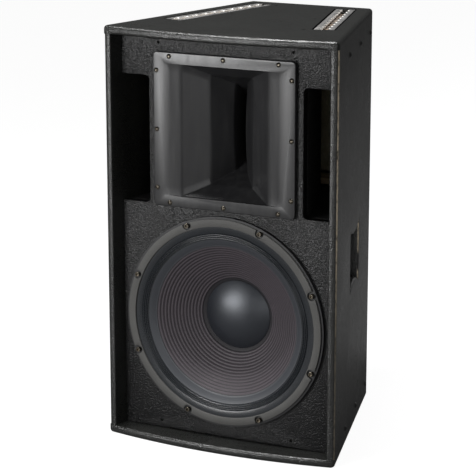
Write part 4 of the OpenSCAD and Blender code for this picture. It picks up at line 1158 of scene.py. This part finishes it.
def build_shell():
    """Panels, hand cups, rigging and wadding."""
    add_piece(rear_board(), "cabinet_paint", ["rear_panel"])
    add_piece(baffle_board(), "baffle_paint", ["baffle"])
    cup = placed(handle_cup(), along_side())
    soften(cup, 1 * MM, 2, 50)
    shaded(cup, 35)
    add_piece(placed_copy("left_cup", cup, MIRROR), "handle_cup", ["left_handle_cup"])
    add_piece(cup, "handle_cup", ["right_handle_cup"])
    build_bolts()
    build_tracks()
    wool_pad("rear_wadding", "rear_pad", STAY, 1.0)
    wool_pad("right_wadding", "right_pads", along_side(), 2.0)
    wool_pad("left_wadding", "left_pads", MIRROR @ along_side(), 3.0)
    right = side_panel()
    left = placed_copy("left_side_shell", right, MIRROR)
    add_piece(right, "cabinet_paint", ["right_side_panel"])
    add_piece(left, "cabinet_paint", ["left_side_panel"])
    add_piece(end_panel("top_shell", True), "cabinet_paint", ["top_panel"])
    add_piece(end_panel("bottom_shell", False), "cabinet_paint", ["bottom_panel"])


# ---------------------------------------------------------------- woofer

SECTORS = 24                    # wedges of the surround
RIB_START = (138.8, 2.9)        # radius and depth, in millimetres, where the cone's ribs begin
RIB_END = (69.0, 50.9)          # and where they end
RIBS = 14
RIB_H = 0.8                     # height of a rib, in millimetres
GROOVE_SHADE_H = 0.34                 # how far above a valley the painted shade reaches, in millimetres
NOTCH_R = 8.2 * MM              # radius of the gasket's notch at a screw
RIM_FACE = 7.02                 # height of the rim's front above the baffle face, in millimetres


def woofer_piece(name, profile):
    """Turns a profile of (radius, depth behind the baffle face), in millimetres."""
    return lathe(name, [(r * MM, baffle_y + d * MM) for r, d in profile], (0, woofer_z), 160)


def surround_profile():
    """A flat land, then three half-round rolls, then the lap onto the cone's edge."""
    outer, land, inner = 177.1, 164.6, 154.2
    front = [(outer, -7.95), (land + 1.0, -7.95), (land, -7.4)]
    rolls = 3
    width = (land - 0.6 - inner) / rolls
    for i in range(rolls):
        mid = land - 0.6 - width * (i + 0.5)
        for k in range(9):
            angle = pi * k / 8
            front.append((mid + width / 2 * cos(angle), -6.4 - 2.2 * sin(angle) + i * 0.35))
    front.append((inner - 1.8, -5.6))
    back = [(r, d + 0.7) for r, d in reversed(front)]
    return front + back


def sector_ring(name, profile, slot, node):
    """A turned ring in sectors, each its own object."""
    steps = 6
    span = FULL / SECTORS
    for i in range(SECTORS):
        turns = [span * (i + k / steps) for k in range(steps + 1)]
        loops = [[Vector((r * MM * cos(turn), baffle_y + d * MM, woofer_z + r * MM * sin(turn)))
                  for r, d in profile] for turn in turns]
        obj = shaded(loops_solid("%s_%02d" % (name, i), loops), 50)
        obj.data.materials.append(materials[slot])
        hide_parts(node)
        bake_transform(obj)


def cone_profile():
    """Smooth apron, ribbed middle, smooth neck; the back follows the front."""
    front = [(153.4, -4.9), (152.6, -5.2), (151.6, -4.9)]
    front += [(151.0 - 11.0 * k / 5, -4.6 + 6.6 * (k / 5) ** 1.15) for k in range(6)]
    front += [(139.6, 2.0), (139.2, 2.8)]
    start, end = RIB_START, RIB_END
    count = RIBS * 8
    for k in range(count + 1):
        t = k / count
        wave = RIB_H * (1 - cos(FULL * RIBS * t)) / 2
        front.append((start[0] + (end[0] - start[0]) * t - wave * 0.55,
                      start[1] + (end[1] - start[1]) * t - wave * 0.85))
    front += [(68.0, 51.4), (65.2, 53.3), (58.0, 58.3), (51.0, 63.0)]
    back = [(max(r, 51.0), d + 1.5) for r, d in reversed(front) if r > 51.5 or d > 62]
    return front + back


def mark_groove_shade(obj):
    """Marks the valleys between the cone's ribs, for the paper to darken as painted shade."""
    layer = obj.data.attributes.new("groove_shade", "FLOAT", "POINT")
    along = Vector((RIB_END[0] - RIB_START[0], RIB_END[1] - RIB_START[1])).normalized()
    for i, v in enumerate(obj.data.vertices):
        radius = hypot(v.co.x, v.co.z - woofer_z) / MM
        away = Vector((radius - RIB_START[0], (v.co.y - baffle_y) / MM - RIB_START[1]))
        height = abs(away.x * along.y - away.y * along.x)
        ribbed = RIB_END[0] < radius < RIB_START[0] + 0.5
        layer.data[i].value = max(0.0, 1 - height / GROOVE_SHADE_H) if ribbed else 0.0


def dust_cap_profile():
    """A shallow dome whose edge laps onto the cone."""
    edge, bulge = 62.6, 19.0
    sphere = (edge ** 2 + bulge ** 2) / (2 * bulge)
    base = 53.0
    front = [(63.5, base + 0.4)]
    for k in range(25):
        r = edge * (1 - k / 24)
        front.append((r, base - 0.3 - (sqrt(sphere ** 2 - r ** 2) - (sphere - bulge))))
    back = [(max(r - 0.6, 0.0), d + 0.8) for r, d in reversed(front)]
    return front + back


def cut_socket(obj, across, top, depth):
    """Cuts a hexagonal socket into a head whose top is at y = top, all in millimetres."""
    hexagon = circle(across * MM / sqrt(3), 6, radians(30))
    loops = [[Vector((x, (top + y) * MM, z)) for x, z in hexagon] for y in (-1, depth)]
    cut(obj, loops_solid("socket", loops))
    return obj


def socket_screw():
    """A socket-head screw whose head's underside is at y = 0 and whose top is at -y."""
    profile = [(0, -6), (3.9, -6), (4.3, -5.7), (4.5, -5.2), (4.5, 0), (3, 0), (3, 4), (0, 4)]
    obj = turned("socket_screw", profile, 40)
    return cut_socket(obj, 5, -6, 3)


def domed_screw(radius, height, across, shank_r=2.0, shank_l=4.0):
    """A domed head with a hex recess, underside at y = 0, top at -y, in millimetres."""
    sphere = (radius ** 2 + height ** 2) / (2 * height)
    profile = []
    for k in range(9):
        r = radius * k / 8
        profile.append((r, -(sqrt(sphere ** 2 - r ** 2) - (sphere - height)) - 0.15))
    profile += [(radius, 0.0), (shank_r, 0.0), (shank_r, shank_l), (0, shank_l)]
    obj = turned("domed_screw", profile, 36)
    return cut_socket(obj, across, -height - 0.15, 1.4)


def gasket_ring():
    """The flat gasket on the rim, with a notch that opens outwards at each screw."""
    top, low = -10.6, -RIM_FACE
    out, inner = gasket_hi.x / MM, 177.4
    profile = [(inner, low), (inner, top + 0.7), (inner + 0.2, top + 0.2), (inner + 0.7, top),
               (out - 0.7, top), (out - 0.2, top + 0.2), (out, top + 0.7), (out, low)]
    obj = woofer_piece("gasket_ring", profile)
    y0, y1 = baffle_y - 20 * MM, baffle_y - RIM_FACE * MM
    notch = bore_at(NOTCH_R, 0, 0, y0, y1, 48)
    mouth = box_solid("mouth", (0, y0, -NOTCH_R), (16 * MM, y1, NOTCH_R))
    combine(notch, mouth, "UNION")
    places = [SHIFT((x, 0, z)) @ Matrix.Rotation(-angle, 4, "Y") for x, z, angle in screw_ring()]
    cut(obj, copies("notches", notch, places))
    soften(obj, 0.5 * MM, 2, 60)
    return obj


def screw_ring():
    """X, Z and angle of each woofer screw."""
    ring_r = rim_r - 8.25 * MM
    angles = [radians(22.5 + 45 * i) for i in range(8)]
    return [(ring_r * cos(a), woofer_z + ring_r * sin(a), a) for a in angles]


def build_woofer():
    """What shows of the woofer; the rest of it is drawn by the frame's own nodes."""
    sector_ring("surround_sector", surround_profile(), "surround_cloth", "surround")
    add_piece(shaded(gasket_ring(), 35), "gasket_grey", ["woofer_gasket"])
    cone = shaded(woofer_piece("ribbed_cone", cone_profile()), 40)
    mark_groove_shade(cone)
    add_piece(cone, "cone_paper", ["cone"], "cone_assembly")
    add_piece(shaded(woofer_piece("dome_cap", dust_cap_profile()), 40), "dust_cap_paper",
              ["dust_cap"], "cone_assembly")
    face = baffle_y - 7 * MM
    places = [SHIFT((x, face, z)) @ Matrix.Rotation(1.7 * angle, 4, "Y")
              for x, z, angle in screw_ring()]
    screwed("woofer_cap_screws", socket_screw(), places, "bright_screws", "woofer_screws")


# ---------------------------------------------------------------- horn

MOUTH_DEPTH = 6.0
CREASE_DEPTH = 34.0
SLOT_DEPTH = 77.0
SLOT_RISE = 8.0      # how much nearer the front the slot's middle is
CREASE = 1.3         # width of the softened corners along the cavity


def eased(value, knots):
    """Straight runs between knots of (position, value)."""
    for (a, fa), (b, fb) in zip(knots, knots[1:]):
        if value <= b:
            return fa + (fb - fa) * (value - a) / (b - a)
    return knots[-1][1]


def rounded_run(value, knots, radius):
    """Straight runs whose corners are blended over radius on each side."""
    total = 0.0
    weight = 0.0
    steps = 8
    for k in range(-steps, steps + 1):
        w = 1 - abs(k) / (steps + 1)
        total += w * eased(value + radius * k / steps, knots)
        weight += w
    return total / weight


def horn_sections(extra_w, extra_h, deep_only):
    """Closed loops of the horn's cavity, front to back, grown by extra on each side."""
    # depth behind the flange's face, then half the cavity's width or height there
    widths = [(-9, 115 + 9 * 5.2), (0, 115.0), (MOUTH_DEPTH, 83.8), (CREASE_DEPTH, 41.5),
              (SLOT_DEPTH, 11.0), (186, 15.0)]
    heights = [(-9, 119.0), (MOUTH_DEPTH, 119.0), (CREASE_DEPTH, 99.0), (SLOT_DEPTH, 79.0), (186, 15.0)]
    depths = [-6, -3, 0, 2, 4, 5, 6, 7, 8.5, 11, 15, 20, 25, 28, 31, 33, 35, 37, 40, 46, 54, 62,
              69, 74, 76.5, 79, 90, 120, 150, 186]
    if deep_only:
        depths = [d for d in depths if d >= 8.5]
    loops = []
    rows, columns = 16, 6
    for depth in depths:
        w = rounded_run(depth, widths, 1.2 if depth < 14 else 2.5) + extra_w
        h = eased(depth, heights) + extra_h
        pull = max(0.0, min(1.0, (depth - CREASE_DEPTH) / (SLOT_DEPTH - CREASE_DEPTH)))
        pull *= max(0.0, 1 - max(0.0, depth - SLOT_DEPTH) / 60)
        broad, tall = w - CREASE, h - CREASE
        across = [-broad + 2 * broad * k / columns for k in range(columns + 1)]
        up = [-tall + 2 * tall * k / rows for k in range(rows + 1)]
        plan = [(x, -h) for x in across] + [(w, z) for z in up]
        plan += [(x, h) for x in reversed(across)] + [(-w, z) for z in reversed(up)]
        loops.append([Vector((x * MM, horn_front + (depth - SLOT_RISE * pull * (1 - (z / h) ** 2)) * MM,
                              horn_z + z * MM)) for x, z in plan])
    return loops


def rounded_plate(name, half_w, half_h, corner, y_front, y_back, edge, z):
    """A plate facing -Y with rounded corners and a rounded front edge."""
    plan = fillet(rectangle(half_w, half_h), [corner] * 4, 8)
    moves = outward(plan)
    loops = [[Vector((p.x, y_back, z + p.y)) for p in plan]]
    for inset, drop in quarter(4, edge):
        loops.append([Vector((p.x - m.x * inset, y_front + drop, z + p.y - m.y * inset))
                      for p, m in zip(plan, moves)])
    return loops_solid(name, loops)


def build_horn():
    """The moulded horn, drawn as a flange, a spigot, a body and a driver flange less its cavity."""
    flange_back = baffle_y - 1.8 * MM
    flange = rounded_plate("moulded_horn", horn_half, horn_half_h, 7 * MM, horn_front, flange_back,
                           1.6 * MM, horn_z)
    spigot_w, spigot_h = 119 * MM, 123 * MM
    spigot = box_solid("spigot", (-spigot_w, flange_back - 2 * MM, horn_z - spigot_h),
                       (spigot_w, baffle_y + OVER, horn_z + spigot_h))
    combine(flange, spigot, "UNION")
    combine(flange, loops_solid("outer", horn_sections(7, 5, True)), "UNION")
    adaptor_y = horn_hi.y - 12 * MM
    combine(flange, bore_at(62 * MM, 0, horn_z, adaptor_y, horn_hi.y, 96), "UNION")
    cut(flange, loops_solid("cavity", horn_sections(0, 0, False)))
    cut(flange, bore_at(18 * MM, 0, horn_z, adaptor_y, horn_hi.y + 1 * MM, 64))
    tidy_mesh(flange, 2e-5)
    shaded(flange, 28)
    add_piece(flange, "horn_plastic", ["horn"])
    edge = 7 * MM
    row, x_side, z_side = 106 * MM, horn_half - edge, horn_half_h - edge
    spots = [(x, z) for x in (-row, 0, row) for z in (-z_side, z_side)]
    spots += [(x, z) for x in (-x_side, x_side) for z in (-row, 0, row)]
    places = [SHIFT((x, horn_front, horn_z + z)) @ Matrix.Rotation(1.3 * i, 4, "Y")
              for i, (x, z) in enumerate(spots)]
    screwed("horn_dome_screws", domed_screw(4.6, 2.7, 2.6), places, "bright_screws", "horn_screws")


# ---------------------------------------------------------------- CAD nodes that stay

def dress_nodes():
    """Gives every CAD node the material of its slot and slightly broken edges where they show."""
    slots = {s["node"]: s["material_slot"] for s in frame["record"]["subparts"]}
    broken = {"woofer_basket": 0.8, "input_dish": 0.6, "input_sockets": 0.4}
    for name, obj in frame["nodes"].items():
        slot = slots[name]
        if name.startswith("track_bottom"):
            slot = "track_aluminium_low"
        obj.data.materials.clear()
        obj.data.materials.append(materials[slot])
        if name in broken:
            weld = obj.modifiers.new("weld", "WELD")
            weld.merge_threshold = 1e-5
            bevel(obj, broken[name] * MM, 2, 40).harden_normals = True


look_camera()
studio()
materials = {name: kind(name, *values) for name, (kind, *values) in SLOTS.items()}
dress_nodes()
build_shell()
build_woofer()
build_horn()
